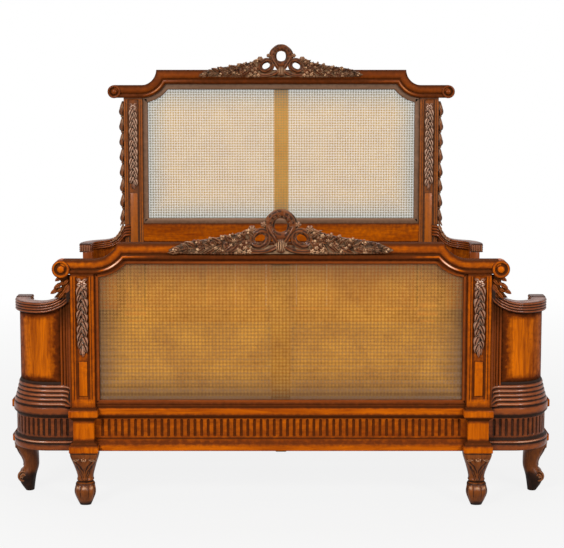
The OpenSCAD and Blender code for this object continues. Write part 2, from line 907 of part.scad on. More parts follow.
module side_rail(s) {
    x1 = half_w - base_line;
    color("chocolate") on_side(s) difference() {
        union() {
            translate([x1 - side_t, rail_half, 0]) rotate([90, 0, 0])
                linear_extrude(height = 2 * rail_half) base_section(side_t);
            rail_tenon(-rail_half - tenon_l, rail_half + tenon_l);
        }
        for (m = [0, 1], z = bolt_z) mirror([0, m, 0]) {
            translate([bolt_x, rail_half - bolt_grip, z]) rotate([-90, 0, 0])
                cylinder(r = bolt_r + play, h = bolt_grip + 1);
            translate([x1 - side_t - 1, nut_y, z]) rotate([0, 90, 0])
                cylinder(r = nut_r + play, h = nut_l + 1);
        }
    }
}

module side_bearers() {
    inner = half_w - corner_w;
    pack_l = 80;
    pack_in = 8;
    color("burlywood") both_sides() {
        box([inner - bearer_w, -bearer_end, beam_z], [inner, bearer_end, beam_z + beam_h]);
        for (y = [-1, 0, 1] * (rail_half - 2 * pack_l))
            box([inner - 1, y - pack_l / 2, beam_z + pack_in],
                [half_w - base_line - side_t, y + pack_l / 2, beam_z + beam_h - pack_in]);
    }
}

module middle_beam() {
    half_l = bed_l / 2 - base_in - base_t - stirrup_t;
    color("burlywood")
        box([-beam_w / 2, -half_l, beam_z], [beam_w / 2, half_l, beam_z + beam_h]);
}

module beam_stirrups() {
    seat = 40;
    y = bed_l / 2 - base_in - base_t;
    color("dimgray") for (m = [0, 1]) mirror([0, m, 0]) difference() {
        box([-beam_w / 2 - stirrup_t, y - seat, beam_z - stirrup_t],
            [beam_w / 2 + stirrup_t, y, beam_z + beam_h - 10]);
        box([-beam_w / 2, y - seat - 1, beam_z],
            [beam_w / 2, y - stirrup_t, beam_z + beam_h]);
    }
}

module beam_props() {
    color("burlywood") for (i = [0:prop_n - 1]) {
        y = prop_n > 1 ? -prop_span / 2 + i * prop_span / (prop_n - 1) : 0;
        box([-prop_w / 2, y - prop_w / 2, 0], [prop_w / 2, y + prop_w / 2, beam_z]);
    }
}

module slats() {
    color("burlywood") for (i = [0:slat_n - 1]) {
        y = lerp(-slat_y, slat_y, i / (slat_n - 1));
        box([-slat_x, y - slat_w / 2, rest_z - slat_t], [slat_x, y + slat_w / 2, rest_z]);
    }
}

// Bolts that draw each side rail to its corner blocks
module bed_bolts() {
    color("dimgray") both_sides() for (m = [0, 1], z = bolt_z) mirror([0, m, 0])
        translate([bolt_x, rail_half - bolt_grip + bolt_end, z]) rotate([-90, 0, 0]) {
            cylinder(r = bolt_r, h = bolt_l);
            translate([0, 0, bolt_l]) cylinder(r = bolt_head_r, h = bolt_head_l, $fn = 6);
        }
}

// Barrel nuts in the side rails
module bolt_nuts() {
    x1 = half_w - base_line;
    color("dimgray") both_sides() for (m = [0, 1], z = bolt_z) mirror([0, m, 0]) difference() {
        translate([x1 - side_t + 1, nut_y, z]) rotate([0, 90, 0])
            cylinder(r = nut_r, h = nut_l - 2);
        translate([bolt_x, rail_half - bolt_grip, z]) rotate([-90, 0, 0])
            cylinder(r = bolt_r + play / 2, h = 30);
    }
}

post(FOOT, -1);  // foot_post_l
post(FOOT, 1);  // foot_post_r
post_leg(FOOT, -1);  // foot_leg_l
post_leg(FOOT, 1);  // foot_leg_r
top_rail(FOOT);  // foot_top_rail
crest(FOOT);  // foot_crest
color("chocolate") at_end(FOOT) base_rail(FOOT);  // foot_base_rail
cane(FOOT);  // foot_cane
cane_strips(FOOT);  // foot_cane_strips
stile(FOOT);  // foot_stile
garlands(FOOT);  // foot_garlands
foot_leaf_drops();
wing_post(FOOT, -1);  // foot_wing_post_l
wing_post(FOOT, 1);  // foot_wing_post_r
wing_leg(FOOT, -1);  // foot_wing_leg_l
wing_leg(FOOT, 1);  // foot_wing_leg_r
wing_wall(FOOT, -1);  // foot_wing_wall_l
wing_wall(FOOT, 1);  // foot_wing_wall_r
wing_cap(FOOT, -1);  // foot_wing_cap_l
wing_cap(FOOT, 1);  // foot_wing_cap_r
color("sienna") on_side(-1) at_end(FOOT) wing_base(FOOT);  // foot_wing_base_l
color("sienna") at_end(FOOT) wing_base(FOOT);  // foot_wing_base_r
wing_flares(FOOT);  // foot_wing_flares
wing_reeds(FOOT);  // foot_wing_reeds
post(HEAD, -1);  // head_post_l
post(HEAD, 1);  // head_post_r
post_leg(HEAD, -1);  // head_leg_l
post_leg(HEAD, 1);  // head_leg_r
top_rail(HEAD);  // head_top_rail
crest(HEAD);  // head_crest
color("chocolate") at_end(HEAD) base_rail(HEAD);  // head_base_rail
cane(HEAD);  // head_cane
cane_strips(HEAD);  // head_cane_strips
stile(HEAD);  // head_stile
head_mid_rail();
head_board();
garlands(HEAD);  // head_garlands
head_husks();
wing_post(HEAD, -1);  // head_wing_post_l
wing_post(HEAD, 1);  // head_wing_post_r
wing_leg(HEAD, -1);  // head_wing_leg_l
wing_leg(HEAD, 1);  // head_wing_leg_r
wing_wall(HEAD, -1);  // head_wing_wall_l
wing_wall(HEAD, 1);  // head_wing_wall_r
wing_cap(HEAD, -1);  // head_wing_cap_l
wing_cap(HEAD, 1);  // head_wing_cap_r
color("sienna") on_side(-1) at_end(HEAD) wing_base(HEAD);  // head_wing_base_l
color("sienna") at_end(HEAD) wing_base(HEAD);  // head_wing_base_r
wing_flares(HEAD);  // head_wing_flares
wing_reeds(HEAD);  // head_wing_reeds
side_rail(-1);  // side_rail_l
side_rail(1);  // side_rail_r
side_bearers();
middle_beam();
beam_stirrups();
beam_props();
slats();
bed_bolts();
bolt_nuts();
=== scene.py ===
import math
import random

import bmesh
import bpy
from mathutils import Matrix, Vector


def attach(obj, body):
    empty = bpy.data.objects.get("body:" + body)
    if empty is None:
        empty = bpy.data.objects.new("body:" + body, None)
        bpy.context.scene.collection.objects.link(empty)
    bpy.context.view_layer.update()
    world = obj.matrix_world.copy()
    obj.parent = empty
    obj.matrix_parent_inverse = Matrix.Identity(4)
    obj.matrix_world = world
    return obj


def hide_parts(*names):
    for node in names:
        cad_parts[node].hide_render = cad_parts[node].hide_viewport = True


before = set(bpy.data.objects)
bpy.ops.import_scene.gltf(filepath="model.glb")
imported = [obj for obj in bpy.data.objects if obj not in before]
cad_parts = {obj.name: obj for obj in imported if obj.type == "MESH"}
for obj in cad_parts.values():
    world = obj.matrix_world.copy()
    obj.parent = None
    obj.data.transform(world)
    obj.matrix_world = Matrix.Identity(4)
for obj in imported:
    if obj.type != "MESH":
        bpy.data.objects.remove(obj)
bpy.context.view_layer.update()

mm = 0.001
forward = (0, -1, 0)                             # out of a face, toward the one who looks at it
sides = {-1: "l", 1: "r"}

# main sizes of the bed in millimetres, the same as in the solids; heights start "lift" above the floor
bed = {
    "lift": 14, "halfLength": 1085, "halfWidth": 1000, "legTop": 186, "lowerTop": 222,
    "friezeTop": 319, "baseTop": 351, "cornerX": 845, "cornerY": 185,
    "wallR": 118, "mouldR": 145, "coveR": 43, "capOut": 16, "capWide": 58,
    "foot": {"postX": 713, "postHalf": 42.5, "postTop": 838, "railTop": 948, "drop": 60,
             "railH": 58, "runH": 50, "shoulderR": 99, "shoulderX": 675, "scrollX": 786,
             "scrollZ": 856.6, "faceY": -1071, "strip": 15, "openLow": 360,
             "sunk": (381, 826), "fillet": (391, 521), "garland": (535, 824), "capTop": 728},
    "head": {"postX": 729, "postHalf": 46, "postTop": 1402, "railTop": 1539, "drop": 75,
             "railH": 68, "runH": 62, "shoulderR": 77, "shoulderX": 690, "scrollX": 820,
             "scrollZ": 1432.6, "faceY": 1007, "strip": 25, "openLow": 780,
             "sunk": (381, 1390), "fillet": (591, 934), "garland": (948, 1378), "capTop": 700},
}


def innerX(end):
    return bed[end]["postX"] - bed[end]["postHalf"]


def outerX(end):
    return bed[end]["postX"] + bed[end]["postHalf"]


def mix(a, b, t):
    return a + (b - a) * t


def near(distance, reach):
    # 1 on an edge, falling to 0 at its reach
    return max(0.0, 1 - abs(distance) / reach)


def turns(count):
    return [2 * math.pi * k / count for k in range(count)]


# shapes are lists of points, faces and how much dark glaze and painted shade each point holds (below 0:
# rubbed bright and painted highlight)

def newShape():
    return {"points": [], "faces": [], "glaze": []}


def addRows(shape, rows, glaze, ring=True, loop=False, caps=True):
    start, wide, deep = len(shape["points"]), len(rows[0]), len(rows)
    for number, row in enumerate(rows):
        shape["points"] += [tuple(point) for point in row]
        shape["glaze"] += list(glaze[number] if hasattr(glaze[0], "__len__") else glaze)
    for i in range(deep if loop else deep - 1):
        for j in range(wide if ring else wide - 1):
            here, there = start + i * wide, start + (i + 1) % deep * wide
            nextJ = (j + 1) % wide
            shape["faces"].append((here + j, here + nextJ, there + nextJ, there + j))
    if caps and ring and not loop:
        shape["faces"].append(tuple(range(start + wide - 1, start - 1, -1)))
        shape["faces"].append(tuple(range(start + (deep - 1) * wide, start + deep * wide)))


def addGrid(shape, along, across, pointAt, **how):
    # rows of points; pointAt gives each one's place and its glaze and painted shade
    rows = [[pointAt(u, v) for v in across] for u in along]
    addRows(shape, [[point for point, glaze in row] for row in rows],
            [[glaze for point, glaze in row] for row in rows], **how)


def addMoved(shape, other, place):
    start = len(shape["points"])
    shape["points"] += [place(*point) for point in other["points"]]
    shape["faces"] += [tuple(start + i for i in face) for face in other["faces"]]
    shape["glaze"] += other["glaze"]


# places: from an end's front line, from its posts' face, or as drawn from the middle of the bed

def atEnd(end, side=1):
    if end == "foot":
        return lambda x, y, z: (side * x, y - bed["halfLength"], z + bed["lift"])
    return lambda x, y, z: (side * x, bed["halfLength"] - y, z + bed["lift"])


def atFace(end, side=1):
    return lambda x, y, z: (side * x, y + bed[end]["faceY"], z + bed["lift"])


def asDrawn(x, y, z):
    return (x, y, z + bed["lift"])


def shifted(place, dx=0, dz=0):
    return lambda x, y, z: place(x + dx, y, z + dz)


def makePiece(node, finish, parts, material, slot, sharpAngle=34):
    # one mesh of (shape, place) parts, which stands for a node of the solids
    whole = newShape()
    for shape, place in parts:
        addMoved(whole, shape, place)
    name = f"{node}_{finish}"
    mesh = bpy.data.meshes.new(name)
    mesh.from_pydata([[v * mm for v in point] for point in whole["points"]], [], whole["faces"])
    mesh.attributes.new("glaze", "FLOAT", "POINT").data.foreach_set("value", whole["glaze"])
    tidy = bmesh.new()
    tidy.from_mesh(mesh)
    bmesh.ops.dissolve_degenerate(tidy, dist=1e-6, edges=tidy.edges)
    bmesh.ops.recalc_face_normals(tidy, faces=tidy.faces)
    tidy.to_mesh(mesh)
    tidy.free()
    mesh.polygons.foreach_set("use_smooth", [True] * len(mesh.polygons))
    mesh.set_sharp_from_angle(angle=math.radians(sharpAngle))
    mesh.materials.append(material)
    piece = bpy.data.objects.new(name, mesh)
    bpy.context.scene.collection.objects.link(piece)
    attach(piece, "root")
    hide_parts(node)


def smoothLine(points, steps):
    line = []
    for i in range(len(points) - 1):
        a, b = points[max(i - 1, 0)], points[i]
        c, d = points[i + 1], points[min(i + 2, len(points) - 1)]
        for k in range(steps):
            t = k / steps
            line.append(tuple(
                0.5 * (2 * q + (r - p) * t + (2 * p - 5 * q + 4 * r - s) * t * t
                       + (3 * q - p - 3 * r + s) * t ** 3) for p, q, r, s in zip(a, b, c, d)))
    return line + [tuple(points[-1])]


def smoothAt(table, at):
    # a smooth value from rows of (place, value)
    for i in range(len(table) - 1):
        if at <= table[i + 1][0] or i == len(table) - 2:
            break
    (x0, y0), (x1, y1) = table[i], table[i + 1]
    def slope(k):
        low, high = table[max(k - 1, 0)], table[min(k + 1, len(table) - 1)]
        return (high[1] - low[1]) / (high[0] - low[0])
    w = x1 - x0
    t = min(1, max(0, (at - x0) / w))
    return ((2 * t ** 3 - 3 * t ** 2 + 1) * y0 + (t ** 3 - 2 * t ** 2 + t) * w * slope(i)
            + (3 * t ** 2 - 2 * t ** 3) * y1 + (t ** 3 - t ** 2) * w * slope(i + 1))


# carving: leaves, tubes, balls and flowers

leafAcross = (-1, -0.75, -0.4, 0, 0.4, 0.75, 1)  # from edge to edge, with the rib in the middle


def addLeaf(shape, root, tip, width, bulge, out=forward, curl=0.0, sink=1.5, rib=0.3, steps=7, lobes=0,
            sway=0.0, bright=0.25):
    root, tip, out = Vector(root), Vector(tip), Vector(out)
    along = tip - root
    across = along.cross(out).normalized()
    lift = across.cross(along).normalized()
    rows, shades = [], []
    for i in range(steps + 1):
        u = i / steps
        half = width / 2 * max(0.05, math.sin(math.pi * u ** 0.8) ** 0.8)
        half *= 1 - 0.28 * abs(math.cos(math.pi * lobes * u)) if lobes and 0 < u < 1 else 1
        middle = root + along * u + lift * (curl * u * u) + across * (sway * math.sin(math.pi * u))
        crown = bulge * (0.25 + 0.75 * math.sin(math.pi * min(1, u * 0.9 + 0.1)) ** 0.6)
        heights = [crown * (1 - v * v) ** 0.5 - (rib * crown if v == 0 else 0) for v in leafAcross]
        rows.append([middle + across * (half * v) + lift * height for v, height in zip(leafAcross, heights)]
                    + [middle - lift * sink])
        # dark glaze and painted shade at the edges, on the rib and near the root; painted highlight on the
        # crown
        top = -bright if u > 0.2 else 0.6
        shades.append([1.0 if abs(v) == 1 else 0.75 if v == 0 else top for v in leafAcross] + [1.0])
    addRows(shape, rows, shades)


def addBand(shape, line, section, loop=False, out=forward):
    # a section of (across, out, glaze and painted shade), or one for each point, led along a line
    line, out = [Vector(p) for p in line], Vector(out)
    sizes = section if hasattr(section[0][0], "__len__") else [section] * len(line)
    rows = []
    for i, point in enumerate(line):
        before = line[i - 1] if i or loop else point
        after = line[(i + 1) % len(line)] if i < len(line) - 1 or loop else point
        across = (after - before).cross(out).normalized()
        rows.append([point + across * a + out * o for a, o, g in sizes[i]])
    addRows(shape, rows, [[g for a, o, g in size] for size in sizes[:len(line)]], loop=loop)


def tubeSection(wide, high, count=10, ridges=0, ridge=0.0, turn=0.0):
    section = []
    for a in turns(count):
        swell = 1 + ridge * math.cos(ridges * a + turn)
        # glaze and painted shade: the forward side stays light, the back and the grooves between ridges are
        # dark
        section.append((wide * swell * math.cos(a), high * swell * math.sin(a),
                        0.9 if ridges and swell < 1 - ridge * 0.5 else 0.0 if math.sin(a) > 0.2 else 0.8))
    return section


def addBall(shape, centre, radii, lobes=0, lobe=0.0, sidesAround=14, rings=8, axis="y", bright=0.0):
    def pointAt(b, a):
        b = max(-1.5, min(1.5, b))
        swell = 1 + lobe * math.cos(lobes * a)
        flat = math.cos(b) * swell
        # painted highlight: on the forward side for axis y, round the middle for an upright ball; painted
        # shade behind, at the top and bottom, and in the grooves between lobes
        if axis == "y":
            offset, crown = (flat * math.cos(a), -math.sin(b), flat * math.sin(a)), max(0, min(1, 0.5 - b))
        else:
            offset, crown = (flat * math.cos(a), flat * math.sin(a), math.sin(b)), abs(math.sin(b)) ** 3
        return ([c + r * o for c, r, o in zip(centre, radii, offset)],
                0.9 if lobes and swell < 1 - lobe * 0.4 else mix(-bright, 0.9, crown))
    addGrid(shape, [math.pi * (i / rings - 0.5) for i in range(rings + 1)], turns(sidesAround), pointAt)


def addBead(shape, centre, radii, sidesAround=10, **how):
    addBall(shape, centre, radii, rings=6, sidesAround=sidesAround, **how)


def addFlower(shape, centre, radius, petals=6, spin=0.0, bright=0.8):
    centre, out, up, depth = Vector(centre), Vector(forward), Vector((0, 0, 1)), 5
    for k in range(petals):
        a = 2 * math.pi * (k + 0.5) / petals + spin
        ray = up * math.cos(a) + out.cross(up) * math.sin(a)
        addLeaf(shape, centre + ray * radius * 0.12, centre + ray * radius, radius * 5.2 / petals, depth,
                curl=-depth * 0.15, rib=0.35, steps=6, bright=bright)
    eye = radius * 0.24
    addBead(shape, centre + out * depth * 0.55, (eye, eye * 0.9, eye))


# materials

def setInputs(tree, node, inputs):
    for key, value in inputs.items():
        if isinstance(value, bpy.types.NodeSocket):
            tree.links.new(value, node.inputs[key])
        else:
            node.inputs[key].default_value = value


def addNode(tree, kind, inputs=None, **settings):
    node = tree.nodes.new(kind)
    for key, value in settings.items():
        setattr(node, key, value)
    setInputs(tree, node, inputs or {})
    return node


def addMath(tree, operation, a, b=0.0, clamp=False):
    return addNode(tree, "ShaderNodeMath", {0: a, 1: b}, operation=operation, use_clamp=clamp).outputs[0]


def addRange(tree, value, low, high, outLow=0.0, outHigh=1.0):
    return addNode(tree, "ShaderNodeMapRange", {"Value": value, "From Min": low, "From Max": high,
                   "To Min": outLow, "To Max": outHigh}).outputs[0]


def addMix(tree, share, a, b):
    colours = [value if isinstance(value, bpy.types.NodeSocket) else (*value, 1) for value in (a, b)]
    inputs = {0: share, 6: colours[0], 7: colours[1]}
    return addNode(tree, "ShaderNodeMix", inputs, data_type="RGBA").outputs[2]


def addNoise(tree, place, scale, detail, **more):
    inputs = {"Vector": place, "Scale": scale, "Detail": detail, **more}
    return addNode(tree, "ShaderNodeTexNoise", inputs).outputs


def addBump(tree, strength, distance, height):
    return addNode(tree, "ShaderNodeBump", {"Strength": strength, "Distance": distance,
                   "Height": height}).outputs[0]


def paintedGlazeAndShade(tree):
    return addNode(tree, "ShaderNodeAttribute", attribute_name="glaze").outputs["Fac"]


def objectPlace(tree):
    return addNode(tree, "ShaderNodeTexCoord").outputs["Object"]


def newMaterial(name):
    material = bpy.data.materials.new(name)
    material.use_nodes = True
    return material, material.node_tree, material.node_tree.nodes["Principled BSDF"]


def newGroup(name, numbers, outputs):
    # a group that takes a vector and plain numbers with their first values
    group = bpy.data.node_groups.new(name, "ShaderNodeTree")
    group.interface.new_socket(name="Vector", in_out="INPUT", socket_type="NodeSocketVector")
    for label, value in numbers.items():
        socket = group.interface.new_socket(name=label, in_out="INPUT", socket_type="NodeSocketFloat")
        socket.default_value = value
    for label in outputs:
        group.interface.new_socket(name=label, in_out="OUTPUT", socket_type="NodeSocketFloat")
    return group, group.nodes.new("NodeGroupInput").outputs, group.nodes.new("NodeGroupOutput")


def buildGrainGroup():
    group, given, made = newGroup("woodGrain", {"Figure Size": 1.0, "Pore Size": 1.0},
                                  ("Streaks", "Figure", "Height"))
    broad = addNoise(group, given["Vector"], given["Figure Size"], 4.0, Roughness=0.55, Distortion=0.6)
    bent = addNode(group, "ShaderNodeVectorMath", {0: given["Vector"], 1: broad["Color"]}, operation="ADD")
    fine = addNoise(group, bent.outputs[0], given["Pore Size"], 6.0, Roughness=0.65)
    setInputs(group, made, {"Streaks": addRange(group, fine["Fac"], 0.40, 0.62),
                            "Figure": addRange(group, broad["Fac"], 0.36, 0.64), "Height": fine["Fac"]})
    return group


def buildGlazeAndShadeGroup():
    # dark glaze, and painted shade from ambient occlusion, in hollows and along quirks
    numbers = {"Reach": 0.012, "Hollow": 1.0, "Painted": 1.0}
    group, given, made = newGroup("glazeInHollows", numbers, ("Mask",))
    shade = addNode(group, "ShaderNodeAmbientOcclusion", {"Distance": given["Reach"]}, samples=6)
    hollow = addMath(group, "MULTIPLY", addRange(group, shade.outputs["AO"], 0.92, 0.35), given["Hollow"])
    painted = addMath(group, "MULTIPLY", paintedGlazeAndShade(group), given["Painted"])
    blotch = addNoise(group, given["Vector"], 60.0, 3.0)
    both = addMath(group, "ADD", addMath(group, "MAXIMUM", hollow, painted),
                   addRange(group, blotch["Fac"], 0.3, 0.7, -0.12, 0.12))
    setInputs(group, made, {"Mask": addRange(group, both, 0.1, 0.85)})
    return group


def buildRubAndGlintGroup():
    # finish rubbed thin, and painted highlights, where the points are painted below 0, and along the
    # carving's proud edges
    group, given, made = newGroup("rubbedEdges", {"Painted": 1.0, "Edges": 0.0}, ("Mask",))
    edge = addNode(group, "ShaderNodeNewGeometry").outputs["Pointiness"]
    patch = addNoise(group, given["Vector"], 35.0, 4.0)
    edge, patch = addRange(group, edge, 0.53, 0.62), addRange(group, patch["Fac"], 0.35, 0.6)
    proud = addMath(group, "MULTIPLY", addMath(group, "MULTIPLY", edge, patch), given["Edges"])
    rubbed = addMath(group, "MULTIPLY", paintedGlazeAndShade(group), -1.0)
    painted = addMath(group, "MULTIPLY", rubbed, given["Painted"])
    setInputs(group, made, {"Mask": addMath(group, "MAXIMUM", proud, painted, clamp=True)})
    return group


def addGroup(tree, group, place, numbers):
    return addNode(tree, "ShaderNodeGroup", {"Vector": place, **numbers}, node_tree=group).outputs


grainGroup, glazeAndShadeGroup, rubAndGlintGroup = buildGrainGroup(), buildGlazeAndShadeGroup(), buildRubAndGlintGroup()

# light and deep run with the grain; the shade and glaze colours are dark glaze and painted shade in hollows;
# the rub colour is for worn crowns and painted highlights
plainWood = {"reach": 0.014, "hollow": 1.0, "painted": 1.0, "rubbed": 0.8, "edges": 0, "rough": (0.26, 0.66),
             "coat": 0.10, "coatRough": 0.2, "shine": 0.12, "bump": 0.06, "figure": 1.6, "pores": 7.0}
woodLooks = {
    "polished": {"light": (0.59, 0.128, 0.001), "deep": (0.24, 0.038, 0.001), "shade": (0.145, 0.028, 0.004),
                 "glaze": (0.072, 0.018, 0.004), "rub": (0.88, 0.62, 0.45), "reach": 0.020, "hollow": 0.75,
                 "rubbed": 1.0, "rough": (0.28, 0.9), "coat": 0.05, "shine": 0.02},
    "figured": {"light": (0.68, 0.155, 0.001), "deep": (0.17, 0.026, 0.001), "shade": (0.12, 0.020, 0.001),
                "glaze": (0.030, 0.007, 0.001), "rub": (0.60, 0.17, 0.02), "reach": 0.020, "hollow": 0.8,
                "rubbed": 0.5, "rough": (0.26, 0.8), "coat": 0.06, "shine": 0.03},
    "dim": {"light": (0.42, 0.108, 0.010), "deep": (0.22, 0.054, 0.007), "shade": (0.125, 0.038, 0.011),
            "glaze": (0.062, 0.026, 0.013), "rub": (0.60, 0.38, 0.24), "reach": 0.012, "hollow": 0.8,
            "rubbed": 0.7, "rough": (0.26, 0.65), "coat": 0.12, "bump": 0.05},
    "amber": {"light": (0.26, 0.052, 0.003), "deep": (0.145, 0.027, 0.002), "shade": (0.105, 0.021, 0.002),
              "glaze": (0.056, 0.014, 0.002), "rub": (0.50, 0.17, 0.04), "reach": 0.012, "hollow": 0.75,
              "rough": (0.26, 0.90), "shine": 0.06, "bump": 0.05},
    "brown": {"light": (0.27, 0.060, 0.007), "deep": (0.13, 0.026, 0.004), "shade": (0.068, 0.016, 0.004),
              "glaze": (0.018, 0.007, 0.003), "rub": (0.68, 0.42, 0.28), "rubbed": 0.75,
              "rough": (0.22, 0.66), "coat": 0.15, "bump": 0.05},
    "carved": {"light": (0.27, 0.066, 0.009), "deep": (0.10, 0.022, 0.004), "shade": (0.035, 0.009, 0.002),
               "glaze": (0.012, 0.005, 0.002), "rub": (0.70, 0.46, 0.32), "hollow": 1.1, "painted": 0.9,
               "rubbed": 0.9, "edges": 0.5, "rough": (0.26, 0.64), "coat": 0.25, "shine": 0.25, "bump": 0.08},
    "crest": {"light": (0.175, 0.040, 0.004), "deep": (0.070, 0.015, 0.002), "shade": (0.046, 0.013, 0.004),
              "glaze": (0.022, 0.009, 0.004), "rub": (0.62, 0.37, 0.20), "painted": 0.9, "rubbed": 0.85,
              "edges": 0.5, "rough": (0.34, 0.66), "bump": 0.10},
    "leg": {"light": (0.24, 0.062, 0.008), "deep": (0.085, 0.020, 0.003), "shade": (0.035, 0.009, 0.002),
            "glaze": (0.008, 0.003, 0.001), "rub": (0.62, 0.36, 0.20), "hollow": 1.1, "edges": 0.5,
            "rough": (0.34, 0.66), "coat": 0.08, "bump": 0.08},
    "tan": {"light": (0.23, 0.120, 0.068), "deep": (0.15, 0.074, 0.038), "shade": (0.11, 0.052, 0.025),
            "glaze": (0.075, 0.032, 0.014), "rub": (0.5, 0.3, 0.15), "reach": 0.010, "hollow": 0.6,
            "painted": 0.8, "rubbed": 0.3, "rough": (0.35, 0.6), "coat": 0.05, "shine": 0.2},
    "pale": {"light": (1.0, 0.45, 0.075), "deep": (0.92, 0.34, 0.045), "shade": (0.30, 0.10, 0.02),
             "glaze": (0.10, 0.04, 0.01), "rub": (0.70, 0.38, 0.12), "reach": 0.008, "hollow": 0.0,
             "painted": 0.3, "rubbed": 0.2, "rough": (0.35, 0.5), "coat": 0.0, "shine": 0.05},
    # slats darkened so that what shows through the cane's holes reads dark: painted shade
    "slat": {"light": (0.120, 0.055, 0.024), "deep": (0.060, 0.025, 0.011), "shade": (0.03, 0.012, 0.006),
             "glaze": (0.015, 0.007, 0.004), "rub": (0.22, 0.11, 0.05), "reach": 0.008, "hollow": 0.3,
             "painted": 0.3, "rubbed": 0.4, "rough": (0.55, 0.75), "coat": 0.0, "shine": 0.2, "bump": 0.15},
}
grainScale = {"x": (0.9, 11, 11), "y": (11, 0.9, 11), "z": (11, 11, 0.9)}
woods = {}


def woodOf(look, axis):
    name = f"{look}Wood{axis.upper()}"
    if name in woods:
        return woods[name]
    sheet = plainWood | woodLooks[look]
    material, tree, shader = newMaterial(name)
    place = objectPlace(tree)
    along = addNode(tree, "ShaderNodeMapping", {"Vector": place, "Scale": grainScale[axis]}).outputs[0]
    grain = addGroup(tree, grainGroup, along, {"Figure Size": sheet["figure"], "Pore Size": sheet["pores"]})
    glaze = addGroup(tree, glazeAndShadeGroup, place, {"Reach": sheet["reach"], "Hollow": sheet["hollow"],
                                               "Painted": sheet["painted"]})["Mask"]
    rub = addGroup(tree, rubAndGlintGroup, place, {"Painted": sheet["rubbed"], "Edges": sheet["edges"]})["Mask"]
    depth = addMath(tree, "ADD", addMath(tree, "MULTIPLY", grain["Figure"], 0.55),
                    addMath(tree, "MULTIPLY", grain["Streaks"], 0.45))
    colour = addMix(tree, depth, sheet["light"], sheet["deep"])
    # the shade and glaze colours go where the mask holds glaze and painted shade, and the rub colour below
    # goes where it holds wear and painted highlights
    colour = addMix(tree, addRange(tree, glaze, 0, 0.55), colour, sheet["shade"])
    colour = addMix(tree, addRange(tree, glaze, 0.45, 1), colour, sheet["glaze"])
    wear = addMath(tree, "ADD", addMath(tree, "MULTIPLY", grain["Streaks"], 0.2), glaze)
    setInputs(tree, shader, {
        "Base Color": addMix(tree, rub, colour, sheet["rub"]),
        "Roughness": addRange(tree, wear, 0, 1.1, *sheet["rough"]),
        "Coat Weight": addRange(tree, glaze, 0, 0.9, sheet["coat"], 0.0),
        "Normal": addBump(tree, sheet["bump"], 0.002, grain["Height"]),
        "Specular IOR Level": sheet["shine"], "Coat Roughness": sheet["coatRough"]})
    woods[name] = material
    return material


def endWood(end, headLook, axis):
    return woodOf("polished" if end == "foot" else headLook, axis)


# each cane's third colour darkens it toward its frame: a stain and painted shadow
caneLooks = {
    "golden": {"pale": (0.70, 0.32, 0.025), "dark": (0.37, 0.143, 0.006), "stain": (0.105, 0.047, 0.013)},
    "pale": {"pale": (0.62, 0.385, 0.09), "dark": (0.44, 0.25, 0.05), "stain": (0.12, 0.145, 0.115)},
}


def caneOf(name):
    look = caneLooks[name]
    material, tree, shader = newMaterial(f"{name}Cane")
    place = objectPlace(tree)
    patch = addNoise(tree, place, 9.0, 5.0, Roughness=0.7)["Fac"]
    fleck = addNoise(tree, place, 160.0, 3.0)["Fac"]
    share = addMath(tree, "ADD", addRange(tree, patch, 0.36, 0.68, 0.18, 0.68),
                    addRange(tree, fleck, 0.35, 0.7, 0.0, 0.45))
    colour = addMix(tree, share, look["pale"], look["dark"])
    # the painted marks darken the strands toward the frame, with stain and painted shadow
    setInputs(tree, shader, {
        "Base Color": addMix(tree, paintedGlazeAndShade(tree), colour, look["stain"]),
        "Roughness": addRange(tree, fleck, 0.3, 0.7, 0.38, 0.6), "Normal": addBump(tree, 0.2, 0.001, fleck)})
    return material


steelLook = {
    "dull": (0.42, 0.43, 0.45), "bright": (0.55, 0.56, 0.58), "spangles": 240.0, "rough": (0.28, 0.45),
}


def steelOf():
    look = steelLook
    material, tree, shader = newMaterial("zincSteel")
    spangle = addNode(tree, "ShaderNodeTexVoronoi", {"Vector": objectPlace(tree),
                      "Scale": look["spangles"]}).outputs["Distance"]
    colour = addMix(tree, spangle, look["dull"], look["bright"])
    rough = addRange(tree, spangle, 0, 1, *look["rough"])
    setInputs(tree, shader, {"Base Color": colour, "Metallic": 1.0, "Roughness": rough})
    return material


steel = steelOf()
print("materials made")


# mouldings of the base: (out, height, glaze and painted shade; below 0 a painted highlight) from the front
# line

